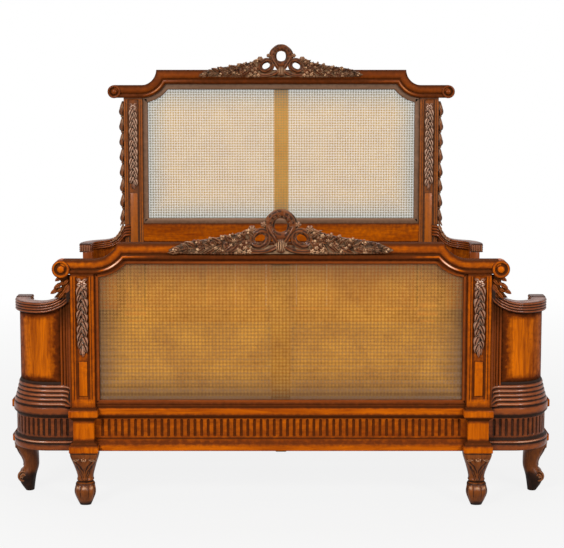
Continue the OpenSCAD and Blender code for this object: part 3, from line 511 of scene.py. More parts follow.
baseMould = {
    "y": 36, "back": -30, "frieze": -10, "friezeLow": 228, "friezeHigh": 309,
    "fluteR": 5.5, "fluteLength": 66, "pitch": 24, "wingPitch": 22,
    "lower": [(-30, 186, 0.6), (-5, 186, 0.9), (-1.5, 186.7, 0.5), (0, 189, 0.15), (0, 198, 0.05),
              (0, 206, 0.4), (-0.8, 208.5, 0.7), (-2.8, 210, 1), (-3, 211.5, 1), (-0.6, 213, 0.9),
              (0.9, 215.5, 0.4), (0.9, 218.5, -0.9), (-0.8, 222, 0.4), (-4, 224, 0.8), (-8, 225, 1),
              (-9.5, 226.5, 1), (-10.5, 230, 0.9), (-30, 230, 0.5)],
    "upper": [(-30, 305, 0.6), (-10.5, 305, 1), (-9, 308, 0.9), (-6, 311, 0.7), (-4.5, 312.5, 1),
              (-4, 315.5, 1), (-0.9, 316.6, 0.9), (0, 318.5, 0.75), (0, 321, 0.5), (0, 325, 0.25),
              (0, 330, 0.06), (0, 336, 0), (0, 341, 0.08), (-1, 343.5, 0.3), (-3.6, 345.5, 0.6),
              (-6, 347, 0.8), (-7, 351, 0.8), (-30, 351, 0.6)],
    "straight": [(-30, 186, 0.6), (-3, 186, 0.9), (-0.8, 186.7, 0.5), (0, 188.5, 0.2), (0, 191, 0.02),
                 (0, 196, 0), (0, 201, 0.08), (0, 206, 0.25), (0, 210, 0.42), (-0.8, 212, 0.5),
                 (-3, 213.5, 0.6), (-3.6, 215.5, 0.55), (-6, 217.5, 0.55), (-9, 219, 0.5),
                 (-9.8, 222, 0.5), (-10.2, 226, 0.36), (-10.5, 230, 0.3), (-30, 230, 0.5)],
    "sill": [(-4, 349, 1), (-4, 357, 0.55), (-5.5, 359.5, 0.4), (-8, 360, 0.4), (-31, 360, 0.3),
             (-31, 349, 0.3)],
}


def glintAlong(count, glazes):
    # painted highlights on the crowns (below 0) are brightest a third of the way along and fade to the far
    # end
    rows = []
    for i in range(count):
        share = i / (count - 1)
        glint = min(1, 0.35 + share / 0.2) * max(0.03, 1 - max(0, share - 0.36) / 0.3)
        rows.append([g * glint if g < 0 else g for g in glazes])
    return rows


def addSweep(shape, path, profile):
    # a profile of (out, height, glaze and painted shade) led along a plan path of (x, y, normal x, normal y)
    rows = [[(x + nx * o, y + ny * o, z) for o, z, g in profile] for x, y, nx, ny in path]
    addRows(shape, rows, glintAlong(len(rows), [g for o, z, g in profile]))


def straightPath(half):
    return [(-half, baseMould["y"], 0, -1), (half, baseMould["y"], 0, -1)]


def arcPath(centre, radius, start, end, steps, outward=1):
    path = []
    for i in range(steps + 1):
        a = math.radians(mix(start, end, i / steps))
        path.append((centre[0] + radius * math.cos(a), centre[1] + radius * math.sin(a),
                     outward * math.cos(a), outward * math.sin(a)))
    return path


def lengthsAlong(path):
    lengths = [0]
    for a, b in zip(path, path[1:]):
        lengths.append(lengths[-1] + math.hypot(b[0] - a[0], b[1] - a[1]))
    return lengths


def pathAt(path, lengths, s):
    for i in range(len(path) - 1):
        if s <= lengths[i + 1] or i == len(path) - 2:
            break
    t = (s - lengths[i]) / (lengths[i + 1] - lengths[i])
    x, y, nx, ny = [mix(a, b, t) for a, b in zip(path[i], path[i + 1])]
    size = math.hypot(nx, ny)
    return x, y, nx / size, ny / size


def addFrieze(shape, path, flutes):
    # the plain band with flutes cut into it, their ends round
    look = baseMould
    low, high, r, front, back = [look[key] for key in ("friezeLow", "friezeHigh", "fluteR", "frieze", "back")]
    middle, straight = (bed["lowerTop"] + bed["friezeTop"]) / 2, look["fluteLength"] / 2 - r
    lengths = lengthsAlong(path)
    cuts = (0, 0.3, 0.6, 0.86, 1, 1.08)          # where a flute's round is met, in its radius
    stops = set(lengths)
    for at in flutes:
        stops |= {at + sign * r * k for k in cuts for sign in (-1, 1)}
    levels = [low] + sorted(middle + sign * (straight + r * k) for sign in (-1, 1) for k in cuts) + [high]
    rows, shades = [], []
    for s in sorted(s for s in stops if 0 <= s <= lengths[-1]):
        x, y, nx, ny = pathAt(path, lengths, s)
        across = min([abs(s - at) for at in flutes] or [99])
        row, shade = [], []
        for z in levels:
            reach = math.hypot(across, max(0, abs(z - middle) - straight))
            depth = math.sqrt(max(0, r * r - reach * reach)) * 0.95
            row.append((x + nx * (front - depth), y + ny * (front - depth), z))
            # glaze and painted shade grow with the flute's depth and toward the band's edges
            shade.append(max(0.3, min(0.72, depth / r), near(z - low, 8), near(z - high, 8)))
        rows.append(row + [(x + nx * back, y + ny * back, high), (x + nx * back, y + ny * back, low)])
        shades.append(shade + [0.5, 0.5])
    addRows(shape, rows, shades)


def buildBaseRail(end):
    half, pitch = bed[end]["postX"] - postLook["blockHalf"], baseMould["pitch"]
    wide = half + postLook["blockIn"]
    shape = newShape()
    for band in ("straight", "upper"):
        addSweep(shape, straightPath(wide), baseMould[band])
    count = int((2 * half - pitch) / pitch / 2)
    flutes = [wide + i * pitch for i in range(-count, count + 1)] if end == "foot" else []
    addFrieze(shape, straightPath(wide), flutes)
    addSweep(shape, straightPath(innerX(end)), baseMould["sill"])
    makePiece(f"{end}_base_rail", "moulded", [(shape, atEnd(end))], woodOf("polished", "x"), "polished_wood")


# posts: blocks in the base, then a shaft with a sunk panel

postLook = {
    "blockHalf": 52.5, "blockIn": 15, "deep": 78, "back": 10, "shaftDeep": 64, "shaftLow": 345, "eased": 1.4,
    # the block: (in from the side, in from the front, height, glaze and painted shade)
    "levels": [(3, 3, 186, 0.9), (0.8, 0.8, 186.8, 0.4), (0, 0, 188.5, 0.2), (0, 0, 191, 0.02),
               (0, 0, 196, 0), (0, 0, 204, 0.1), (0, 0, 211, 0.45), (1, 1, 213, 0.6),
               (2.6, 2.2, 213.8, 1), (3.4, 2.8, 216, 0.9), (6, 5, 219.5, 0.7), (10, 8, 223, 0.8),
               (14.4, 11.4, 226, 1), (15, 12, 229, 0.8), (15, 12, 234, 0.45), (15, 12, 241, 0.1),
               (15, 12, 248, 0), (15, 12, 284, 0), (15, 12, 292, 0.12), (15, 12, 299, 0.45),
               (15, 12, 305, 0.85), (13, 10, 307.5, 1), (9, 7.5, 310, 0.8), (6, 5, 313, 0.95),
               (5, 4.4, 315.5, 1), (1.2, 1.2, 316.6, 0.7), (0, 0, 318.5, 0.4), (0, 0, 323, 0.12),
               (0, 0, 328, 0), (0, 0, 335, 0), (0, 0, 341, 0.3), (1.2, 1.2, 344, 0.45), (4, 4, 346, 0.9),
               (5, 5, 351, 0.9)],
    # the shaft's face: (in from the side, depth, depth where sunk, glaze and painted shade, glaze and painted
    # shade where sunk)
    "face": [(0, 1.4, 1.4, 0.5, 0.5), (1.4, 0, 0, 0.2, 0.3), (5, 0, 0, 0.15, 0.2), (9, 0, 0, 0.12, 0.34),
             (10.2, 0, 1.6, 0.1, 0.75), (11.4, 0, 1.6, 0.1, 0.75), (12.4, 0, 0.2, 0.1, 0.35),
             (14.5, 0, -0.4, 0.1, 0.14), (17, 0, 0.6, 0.1, 0.25), (18.4, 0, 2.4, 0.1, 0.8),
             (21, 0, 4.6, 0.1, 0.55), (24, 0, 6, 0.1, 0.75), (28, 0, 6, 0.1, 0.42)],
    # the raised fillet: (in from its side, depth, glaze and painted shade), and up from its ends (rise, extra
    # depth, glaze and painted shade)
    "fillet": [(0, 7, 1), (0.6, 2.6, 0.7), (1.8, 1.2, 0.2), (4, 0.6, 0)], "filletIn": 26.5,
    "filletLow": [(0, 3.5, 0.9), (1, 1.4, 0.5), (4, 0, 0)],
    "filletHigh": [(4, 0, 0.2), (1, 1.4, 0.6), (0, 3.5, 0.9)],
}


def boxRing(x0, x1, y0, y1, z, r=1.6):
    r = min(r, (x1 - x0) / 3, (y1 - y0) / 3)
    ring = []
    corners = ((x1 - r, y1 - r, 0), (x0 + r, y1 - r, 90), (x0 + r, y0 + r, 180), (x1 - r, y0 + r, 270))
    for cx, cy, start in corners:
        for k in range(3):
            a = math.radians(start + 45 * k)
            ring.append((cx + r * math.cos(a), cy + r * math.sin(a), z))
    return ring


def addBoxes(shape, boxes, r):
    # a stack of (x0, x1, y0, y1, z, glaze and painted shade)
    addRows(shape, [boxRing(*box[:5], r) for box in boxes], [[box[5]] * 12 for box in boxes])


def addBlock(shape, x0, x1, y0, y1, z0, z1, r=1.6, glaze=0.0):
    # a plain member with eased edges
    levels = ((z0, r * 0.7, 0.5), (z0 + r * 0.3, r * 0.2, 0.2), (z0 + r, 0, glaze),
              (z1 - r, 0, glaze), (z1 - r * 0.3, r * 0.2, 0.2), (z1, r * 0.7, 0.5))
    addBoxes(shape, [(x0 + i, x1 - i, y0 + i, y1 - i, z, max(g * 0.3, glaze)) for z, i, g in levels], r)


def buildPost(end, side):
    size, look = bed[end], postLook
    x, w, d, block = size["postX"], size["postHalf"], look["back"], look["blockHalf"]
    base, shaft, fillet = newShape(), newShape(), newShape()
    levels = [(x - block + a, x + block - a, b, look["deep"], z, g) for a, b, z, g in look["levels"]]
    addBoxes(base, levels, look["eased"])

    half = [(w - a, b, c, e, f) for a, b, c, e, f in look["face"]]
    front = half + [(-a, b, c, e, f) for a, b, c, e, f in reversed(half)]
    (low, high), garlandLow = size["sunk"], size["garland"][0]
    stops = [(look["shaftLow"], 0), (low - 9, 0), (low - 8, 0.3), (low - 2, 0.5), (low, 1), (low + 30, 1),
             (garlandLow - 6, 1), (garlandLow + 20, 1), (high - 30, 1), (high, 1), (high + 3, 0.5),
             (high + 8, 0), (size["postTop"] + 1, 0)]
    rows, shades = [], []
    for z, sunk in stops:
        face = [(x - a, d + mix(b, c, sunk), z) for a, b, c, e, f in front]
        rows.append([(x - w, look["shaftDeep"], z)] + face + [(x + w, look["shaftDeep"], z)])
        # painted shade at the shaft's ends, where it meets the base and the rail
        ends = max(near(z - bed["baseTop"], 12), near(z - size["postTop"], 14)) * 0.9
        shades.append([0.3] + [max(ends, mix(e, f, sunk)) for a, b, c, e, f in front] + [0.3])
    addRows(shaft, rows, shades)

    z0, z1 = size["fillet"]
    wide = w - look["filletIn"]
    levels = ([(z0 + rise, more, g) for rise, more, g in look["filletLow"]]
              + [(z1 - rise, more, g) for rise, more, g in look["filletHigh"]])
    across = [(-1, *spot) for spot in look["fillet"]] + [(1, *spot) for spot in reversed(look["fillet"])]
    addGrid(fillet, levels, across, lambda level, spot: (
        (x + spot[0] * (wide - spot[1]), d + spot[2] + level[1] * (spot[2] < 5) * 0.8, level[0]),
        max(level[2], spot[3])))
    makePiece(f"{end}_post_{sides[side]}", "moulded",
              [(base, atEnd(end, side)), (shaft, atFace(end, side)), (fillet, atFace(end, side))],
              endWood(end, "dim", "z"), "polished_wood")


# carved legs: front and back lines as shares of the depth, half width and squareness, all by height

legLook = {
    "front": [(0, 0.42), (0.14, 0.21), (0.29, 0.11), (0.5, 0.37), (0.78, 0.13), (0.93, 0.03), (1, 0.03)],
    "back": [(0, 0.78), (0.14, 0.82), (0.29, 0.88), (0.46, 0.99), (0.6, 1.0), (0.78, 0.98), (1, 0.98)],
    "half": [(0, 20), (0.13, 31), (0.27, 38), (0.5, 29), (0.72, 38.5), (0.93, 51), (1, 51)],
    "square": [(0, 2.2), (0.3, 2.1), (0.5, 2.2), (0.75, 2.8), (0.93, 5), (1, 7)],
    "around": 88, "rings": 93, "leaf": (0.955, 0.45), "spread": (60, 12), "lobes": 5, "petals": 8,
    "ball": (0.10, 0.41), "wingDeep": 88, "wingIn": 50, "flowerUp": 167, "flowerR": 15,
    "curl": {"at": (31, 42), "r": 20, "start": 118, "turn": 20, "count": 26, "out": 27},
}


def legCarving(share, off, turn, collared):
    # how far the carving stands out, and its glaze and painted shade less its painted highlight
    look, out, dark, bright = legLook, 0.0, 0.0, 0.0
    top, low = look["leaf"]
    if low < share < top:                        # leaf down the shin
        u = (top - share) / (top - low)
        reach = mix(*look["spread"], u) * (0.84 + 0.22 * abs(math.sin(math.pi * look["lobes"] * u)))
        inside = max(0.0, min(1.0, (reach - abs(off)) / 5))
        fade = min(1, u / 0.25, (1 - u) / 0.06)
        rib = max(0.0, 1 - abs(off) / 5)
        vein = 0.5 + 0.5 * math.cos(math.pi * (4 * abs(off) / reach + 4 * u))
        out += fade * inside * (1.4 + 1.7 * vein + 1.6 * rib)
        dark = max(fade * near(reach - abs(off) + 1.5, 5), fade * inside * (1 - vein) ** 2 * 0.8 * (1 - rib))
    low, top = look["ball"]
    if collared and low < share < top:           # petals round the ball
        fade = min(1, (share - low) / 0.08, (top - share) / 0.03)
        petal = abs(math.cos(look["petals"] / 2 * turn)) ** 0.5
        out += fade * (petal - 0.75) * 4
        dark = max(dark, fade * max(0, 1 - 1.7 * petal) * 1.2, 0.55 * near(share - 0.40, 0.06))
        # painted highlight on the tops of the petals
        bright = 0.9 * near(share - 0.345, 0.035) * petal ** 5
    # the wing legs darker toward the bottom
    if not collared:
        dark = max(dark, 0.75 * max(0, min(1, (0.42 - share) / 0.12)))
    collar = near(share - 0.44, 0.02) * collared  # collar over the ball
    out += (1.8 * near(share - 0.475, 0.03) + 2.2 * near(share - 0.40, 0.03)) * collared - 2.6 * collar
    # painted shade on the leg's sides
    flank = 0.5 * max(0, min(1, (abs(off) - 50) / 40)) * collared
    return out, min(1, max(dark, collar, flank, near(share - 1, 0.03), 0.8 * near(share, 0.12))) - bright


def addLeg(shape, deep, collared=1):
    look = legLook
    rows, shades = [], []
    for i in range(look["rings"] + 1):
        share = i / look["rings"]
        z = mix(-bed["lift"], bed["legTop"], share)
        front, back = smoothAt(look["front"], share) * deep, smoothAt(look["back"], share) * deep
        half, n = smoothAt(look["half"], share), smoothAt(look["square"], share)
        cy, hy = (front + back) / 2, (back - front) / 2
        row, shade = [], []
        for a in turns(look["around"]):
            c, s = math.cos(a), math.sin(a)
            x = half * math.copysign(abs(c) ** (2 / n), c)
            y = -hy * math.copysign(abs(s) ** (2 / n), s)
            cut, dark = legCarving(share, math.degrees(math.atan2(c, s)), a, collared)
            length = math.hypot(x / half, y / hy) or 1
            row.append((x + cut * x / half / length, cy + y + cut * y / hy / length, z))
            shade.append(dark)
        rows.append(row)
        shades.append(shade)
    addRows(shape, rows, shades)
    y = look["front"][-1][1] * deep + 4          # a flower between leaves, below the block
    addFlower(shape, (0, y, look["flowerUp"]), look["flowerR"], bright=1)
    for s in (-1, 1):
        addLeaf(shape, (s * 12, y, 176), (s * 46, y + 0.5, 179), 12, 4.2, lobes=3, steps=9, bright=0.6)
        addLeaf(shape, (s * 13, y, 167), (s * 42, y + 2, 156), 15, 4.6, out=(0, -1, 0.1), lobes=3, steps=9,
                bright=0.6)


def buildLegs(end, side):
    look, curled, place = legLook, legLook["curl"], atEnd(end, side)
    leg, wing = newShape(), newShape()
    addLeg(leg, postLook["deep"])
    makePiece(f"{end}_leg_{sides[side]}", "carved", [(leg, shifted(place, bed[end]["postX"]))],
              woodOf("leg", "z"), "carved_wood", 50)
    addLeg(wing, look["wingDeep"], 0)
    y, z = curled["at"]
    for s in (-1, 1):                            # the foot curls outward
        curl = []
        for k in range(curled["count"]):
            q = math.radians(curled["start"] - curled["turn"] * k)
            r = curled["r"] * (1 - k / curled["count"] * 0.75)
            curl.append((s * (curled["out"] + k * 0.35), y - r * math.cos(q) * 0.9, z + r * math.sin(q)))
        addBand(wing, curl, tubeSection(5.5, 5), out=(s, 0, 0))
        # a ball at the curl's eye, with a painted highlight
        addBall(wing, (s * 30, y, z), (8, 8, 8), bright=0.9)
    middle = bed["cornerY"] + look["wingIn"]
    makePiece(f"{end}_wing_leg_{sides[side]}", "carved",
              [(wing, lambda a, b, c: place(bed["halfWidth"] - b, middle + a * 0.97, c))],
              woodOf("leg", "z"), "carved_wood", 50)


# wings: fluted base, flare, wall, reeded hollow and capping

wingLook = {
    "capHigh": 39, "rise": 75, "underRise": 58, "bend": 6, "underBend": 5, "wallThick": 16, "endLength": 60,
    "flareOut": 26, "flareHigh": 84, "reedsHigh": 76, "hollowOut": 5, "flareReeds": 5, "capReeds": 4,
    "endReeds": 6, "reedDeep": 3.6,
    "coveReedR": 6.2, "coveAngles": (14, 32, 50, 68, 86), "coveThick": 14, "coveLevels": (500, 600),
    # glaze and painted shade across each reed, with a painted highlight (below 0) on the middle crown
    "flareGlaze": (1, 0.5, 0.12, -0.6, 0.12, 0.5, 1), "capGlaze": (1, 0.5, 0.15, -0.3, 0.15, 0.5, 1),
    "innerGlaze": (1, 0.3, 0, 0, 0, 0.3, 1),
    # where the wall's rows stand: from its ends, and from its foot and top
    "fromPost": (0, 5, 10, 18, 28, 40, 52), "fromEnd": (0, 6, 14, 26, 40, 60, 80, 100, 120, 140),
    "fromFoot": (0, 84, 90, 98, 115), "fromTop": (34, 20, 12, 0), "wallSteps": 26,
    "postIn": 88, "postLong": 100,
}


def capLevel(end, x, share):
    # the capping's height at x, from its top (0) to its underside (1)
    look, capTop = wingLook, bed[end]["capTop"]
    tip = bed["cornerX"] + bed["wallR"] + bed["capOut"]
    t = max(0, min(1, (tip - x) / (tip - outerX(end))))
    return mix(capTop + look["rise"] * t ** look["bend"],
               capTop - look["capHigh"] + look["underRise"] * t ** look["underBend"], share)


def wingPath(end, endLength=0):
    # from just behind the post's face, through the hollow and round the corner
    x0, cx, cy, radius, cove = outerX(end), bed["cornerX"], bed["cornerY"], bed["wallR"], bed["coveR"]
    wallY = cy - radius
    path = arcPath((x0 + cove, wallY - cove), cove, 171, 90, 14, -1)
    path += [(mix(path[-1][0], cx, 0.5), wallY, 0, -1)] + arcPath((cx, cy), radius, -90, 0, 24)
    return path + ([(cx + radius, cy + endLength, 1, 0)] if endLength else [])


def buildWingBase(end, side):
    cx, cy, radius, pitch = bed["cornerX"], bed["cornerY"], bed["mouldR"], baseMould["wingPitch"]
    start = bed[end]["postX"] + postLook["blockHalf"] - postLook["blockIn"]
    path = [(start, cy - radius, 0, -1)] + arcPath((cx, cy), radius, -90, 0, 28)
    shape = newShape()
    for band in ("lower", "upper"):
        addSweep(shape, path, baseMould[band])
    length = cx - start + math.radians(90) * radius
    flutes = [postLook["blockIn"] + pitch * (i + 0.45) for i in range(int((length - 24) / pitch))]
    addFrieze(shape, path, flutes)
    makePiece(f"{end}_wing_base_{sides[side]}", "moulded", [(shape, atEnd(end, side))],
              woodOf("brown", "x"), "brown_wood")


def reedSteps(count):
    # (reed, step over it) for reeds side by side, which share their quirks
    return [(i, k) for i in range(count) for k in range(7 if i == count - 1 else 6)]


def flareShape(end):
    look, low = wingLook, bed["baseTop"]
    count, high = look["flareReeds"], look["reedsHigh"] / look["flareReeds"]
    profile = [(-6, low, 0.6)]
    for i, k in reedSteps(count):
        o0, o1 = [mix(look["flareOut"], look["hollowOut"], (n / count) ** 0.75) for n in (i, i + 1)]
        swell = math.sin(math.pi * k / 6) ** 0.7
        profile.append((mix(o0, o1, k / 6) - 2.4 + look["reedDeep"] * swell, low + high * (i + k / 6),
                        look["flareGlaze"][k]))
    z0, z1 = low + look["reedsHigh"], low + look["flareHigh"]
    profile += [(look["hollowOut"] * (1 - f) ** 2 + 0.4, mix(z0, z1, f), 0.9)
                for f in (0.15, 0.3, 0.5, 0.7, 0.9, 1)]
    shape = newShape()
    addSweep(shape, wingPath(end), profile + [(-6, z1, 0.6)])
    return shape


def buildWall(end, side):
    look, low, thick = wingLook, bed["baseTop"], wingLook["wallThick"]
    path = [p for p in wingPath(end) if p[0] >= outerX(end) + bed["coveR"] - 1]
    lengths = lengthsAlong(path)
    total, steps = lengths[-1], look["wallSteps"]
    rows, shades = [], []
    for s in sorted(set(look["fromPost"]) | {total - s for s in look["fromEnd"]}
                    | {total * k / steps for k in range(2, steps)}):
        x, y, nx, ny = pathAt(path, lengths, s)
        top = capLevel(end, x, 1) + 3
        heights = ([low + h for h in look["fromFoot"]] + [mix(low, top, 0.6)]
                   + [top - h for h in look["fromTop"]])
        # darker toward the wall's ends, above the flare and under the capping: dark glaze and painted shade
        sideGlazeAndShade = max(near(s, 52), 0.8 * near(s - total, 140))
        rows.append([(x, y, z) for z in heights] + [(x - nx * thick, y - ny * thick, z) for z in (top, low)])
        flareTop = low + look["flareHigh"]
        shades.append([max(sideGlazeAndShade * 0.8, near(z - flareTop, 30) * 0.9, near(top - 4 - z, 30) * 0.95)
                       for z in heights] + [0.3, 0.3])
    shape = newShape()
    addRows(shape, rows, shades)
    makePiece(f"{end}_wing_wall_{sides[side]}", "curved", [(shape, atEnd(end, side))], woodOf("figured", "z"),
              "polished_wood")


def buildCap(end, side):
    look, capTop, capOut, deep = wingLook, bed[end]["capTop"], bed["capOut"], wingLook["reedDeep"]
    inner, reeds = bed["capWide"] - capOut, look["capReeds"]
    # section: (out, share of the height from the top, glaze and painted shade)
    section = [(3 - inner, 0, 0.5), (0, 0, 0.3), (capOut - 3, 0, 0.5)]
    for i, k in reedSteps(reeds):
        section.append((capOut - deep + deep * math.sin(math.pi * k / 6) ** 0.6, (i + k / 6) / reeds,
                        look["capGlaze"][k] if i or k else look["capGlaze"][2]))
    section += [(capOut - 8, 1, 1), (3 - inner, 1, 1)]
    for i in range(reeds):
        for k in range(1, 7):
            section.append((deep - inner - deep * math.sin(math.pi * k / 6) ** 0.6, 1 - (i + k / 6) / reeds,
                            look["innerGlaze"][k]))
    rows = [[(x + nx * o, y + ny * o, capLevel(end, x + nx * o, t)) for o, t, g in section]
            for x, y, nx, ny in wingPath(end, look["endLength"])]
    shape = newShape()
    addRows(shape, rows, glintAlong(len(rows), [g for o, t, g in section]))
    x1 = bed["cornerX"] + bed["wallR"] + capOut - 0.5
    x0, y0, y1 = x1 - bed["capWide"] + 2.5, bed["cornerY"] + 8, bed["cornerY"] + look["endLength"] + 0.5
    addBlock(shape, x0, x1, y0, y1, capTop - 6, capTop + 2, 2, 0.6)
    rows, shades, count, high = [], [], look["endReeds"], look["capHigh"]
    for rise, inset in ((4, 1.5), (6, 0), (high - 7, 0), (high - 5, 1.5)):    # upright reeds close its end, with painted highlights on their crowns and painted shade between
        z, row, shade = capTop - high + rise, [], []
        for k in range(count * 6 + 1):
            swell = abs(math.sin(math.pi * k / 6)) ** 0.6
            row.append((mix(x0 + 2, x1 - 3, k / count / 6), y1 - 2.5 + (4 - inset) * swell, z))
            shade.append(1 - 1.3 * swell)
        rows.append(row + [(x1 - 3, y1 - 8, z), (x0 + 2, y1 - 8, z)])
        shades.append(shade + [0.5, 0.5])
    addRows(shape, rows, shades)
    makePiece(f"{end}_wing_cap_{sides[side]}", "reeded", [(shape, atEnd(end, side))], woodOf("brown", "x"),
              "brown_wood")


def hollowShape(end):
    # upright reeds in the hollow beside the post
    look, r, reed = wingLook, bed["coveR"], wingLook["coveReedR"]
    cx, cy = outerX(end) + r, bed["cornerY"] - bed["wallR"] - r
    front = []
    for k in range(61):
        a = 90 * k / 60                          # 0 at the post, 90 at the wall
        gaps = [abs(math.radians(a - at)) * r for at in look["coveAngles"]]
        swell = max([math.sqrt(reed * reed - gap * gap) for gap in gaps if gap < reed] or [0.0])
        # glaze and painted shade between the reeds and next to the post
        front.append((a, swell, max(0, near(a, 7) * 0.9, 0.9 - swell / look["reedDeep"])))
    rows, shades, back = [], [], r + look["coveThick"]
    # from the base's top, and last up to the capping (None)
    for level in (bed["baseTop"], bed["baseTop"] + 20, *look["coveLevels"], None):
        row, shade = [], []
        for a, swell, dark in front:
            q = math.radians(a)
            row.append((cx - (r - swell) * math.cos(q), cy + (r - swell) * math.sin(q)))
            # the top row, under the capping, takes painted shade
            shade.append(max(dark, 0.9 if level is None else 0))
        for a in (90, 45, 2):
            q = math.radians(a)
            row.append((cx - back * math.cos(q) * (a > 10) - r * (a < 10), cy + back * math.sin(q)))
        rows.append([(x, y, level or capLevel(end, x, 1) + 3) for x, y in row])
        shades.append(shade + [0.5] * 3)
    shape = newShape()
    addRows(shape, rows, shades)
    return shape


def buildWingPost(end, side):
    x1, y0, capTop = bed["halfWidth"], bed["cornerY"], bed[end]["capTop"]
    x0, y1 = x1 - wingLook["postIn"], y0 + wingLook["postLong"]
    shape = newShape()
    addBoxes(shape, [(x0, x1 - b * 1.5, y0, y1 - a * 0.15, z, g) for a, b, z, g in postLook["levels"]],
             postLook["eased"])
    addBlock(shape, x0 + 4, bed["cornerX"] + bed["wallR"], y0 - 1, y0 + wingLook["endLength"],
             postLook["shaftLow"], capTop - wingLook["capHigh"] + 1, 3)
    makePiece(f"{end}_wing_post_{sides[side]}", "moulded", [(shape, atEnd(end, side))],
              endWood(end, "amber", "z"), "polished_wood")


def buildWings(end):
    hollow, flare = hollowShape(end), flareShape(end)
    for side in sides:
        for build in (buildWingBase, buildWall, buildCap, buildWingPost):
            build(end, side)
    makePiece(f"{end}_wing_reeds", "carved", [(hollow, atEnd(end, side)) for side in sides],
              woodOf("amber", "z"), "brown_wood")
    makePiece(f"{end}_wing_flares", "reeded", [(flare, atEnd(end, side)) for side in sides],
              woodOf("brown", "x"), "brown_wood")


# top rails with their scrolls: (share of the height from the top, depth, glaze and painted shade)

railFace = [
    (0.0, 3.2, 0.95), (0.012, 1.2, 0.9), (0.03, 0.4, 0.8), (0.07, 0, 0.66), (0.13, 0, 0.48),
    (0.19, 0.2, 0.32), (0.25, 0.4, 0.26), (0.33, 0.7, 0.21), (0.41, 1.2, 0.28), (0.48, 2.0, 0.38),
    (0.54, 3.0, 0.5), (0.59, 4.4, 0.66), (0.625, 6.6, 0.85), (0.65, 8.4, 0.9), (0.685, 8.4, 0.9),
    (0.70, 6.2, 0.85), (0.73, 4.0, 0.8), (0.78, 2.6, 0.74),
    (0.84, 2.4, 0.72), (0.89, 3.2, 0.72), (0.94, 5.0, 0.66), (0.97, 6.8, 0.66), (0.99, 8.5, 0.75),
    (1.0, 14, 0.9), (1.0, 40, 0.4), (1.0, 60, 0.4), (0.985, 63, 0.3), (0.95, 64, 0.2),
    (0.05, 64, 0.2), (0.015, 63, 0.5), (0.0, 60, 0.95), (0.0, 30, 0.95)]
railSoft = {"foot": 1, "head": 0.7}              # how much of the glaze and painted shade lies on each end's rail
railStops = [0, 0.5, 1] + [1 + k / 14 for k in range(1, 15)] + [2.25, 2.5, 2.75, 3]
railRun = [(s, 1) for s in railStops] + [(s, -1) for s in reversed(railStops[:-1])]
scrollLook = {"r": 32, "proud": 4, "around": 40,
              "disc": [(0, -2.0, 0), (6, -1.6, 0), (10, 0.0, 0.15), (13, 2.2, 0.5), (15, 5, 0.9),
                       (16.5, 6.8, 1), (19.5, 7, 1), (21.5, 3, 0.8), (23.2, 0.8, 0.4), (26, 0, 0.15),
                       (29, 0.4, 0.3), (31, 1.4, 0.55), (32, 2.8, 0.7)],
              "back": [(32, 10, 0.4), (32, 58, 0.2), (30.5, 63, 0.2), (27, 64, 0.2), (18, 64, 0.2),
                       (8, 62, 0.3), (0.3, 61.5, 0.3)]}


def railLevels(end, t):
    # heights of the middle and the outer run, and the shoulder's radius, at a share of the rail's height
    size = bed[end]
    return (size["railTop"] - size["railH"] * t, size["railTop"] - size["drop"] - size["runH"] * t,
            size["shoulderR"] + size["runH"] * t)


def railPoint(end, s, t):
    # s runs 0 at the scroll, 1 at the shoulder's foot, 2 at its top and 3 in the middle
    size = bed[end]
    middle, run, r = railLevels(end, t)
    if s <= 1:
        return mix(size["scrollX"], size["shoulderX"], s), run
    turn = math.acos((run + r - middle) / r)
    if s <= 2:
        a = turn * (s - 1)
        return size["shoulderX"] - r * math.sin(a), run + r - r * math.cos(a)
    return (size["shoulderX"] - r * math.sin(turn)) * (3 - s), middle


def addScroll(shape, x, z):
    count = scrollLook["around"]
    profile = [(r, d - scrollLook["proud"], g) for r, d, g in scrollLook["disc"]] + scrollLook["back"]
    def pointAt(a, spot):
        r, d, g = spot
        twist = 1 + 0.05 * math.cos(a - 0.8) * (13 < r < 26 and d < 10)    # a slight spiral in the groove
        return (x + r * twist * math.cos(a), d, z + r * twist * math.sin(a)), g
    start, wide = len(shape["points"]), len(profile)
    addGrid(shape, turns(count), profile, pointAt, ring=False, loop=True)
    shape["faces"].append(tuple(start + k * wide for k in range(count)))
    shape["faces"].append(tuple(start + k * wide + wide - 1 for k in reversed(range(count))))


def buildTopRail(end):
    soft, shape, scroll = railSoft[end], newShape(), newShape()
    def pointAt(stop, spot):
        (s, side), (t, d, g) = stop, spot
        x, z = railPoint(end, s, t)
        glint = near(s - 1.65, 0.6) * (0.75 < t < 0.87) * (d < 10)          # painted highlight along the shoulder's lower bead
        # the head's rail keeps part of the glaze and painted shade, and is darker toward its top
        return (side * x, d, z), (g * soft + (1 - soft) * 0.75 * near(t, 0.45)) * (1 - glint) - glint
    addGrid(shape, railRun, railFace, pointAt)
    addScroll(scroll, bed[end]["scrollX"], bed[end]["scrollZ"])
    makePiece(f"{end}_top_rail", "moulded",
              [(shape, atFace(end)), (scroll, atFace(end)), (scroll, atFace(end, -1))],
              endWood(end, "amber", "x"), "polished_wood", 30)


# strips round the cane, and the upright behind it

stripLook = {
    # (share across the strip, depth, glaze and painted shade): darker at the outer edge, next to the post
    "section": [(0, 22.4, 0.6), (0.3, 22, 0.42), (0.55, 22, 0.22), (0.85, 22, 0), (0.95, 23.5, 0.1),
                (1, 26, 0.5), (1, 48, 0.6), (0.95, 50, 0.5), (0, 50, 0.6)],
    "foot": ("amber", "polished_wood"), "head": ("tan", "brown_wood"),
    "stileHalf": 34.5, "stileDeep": (38, 50),
}


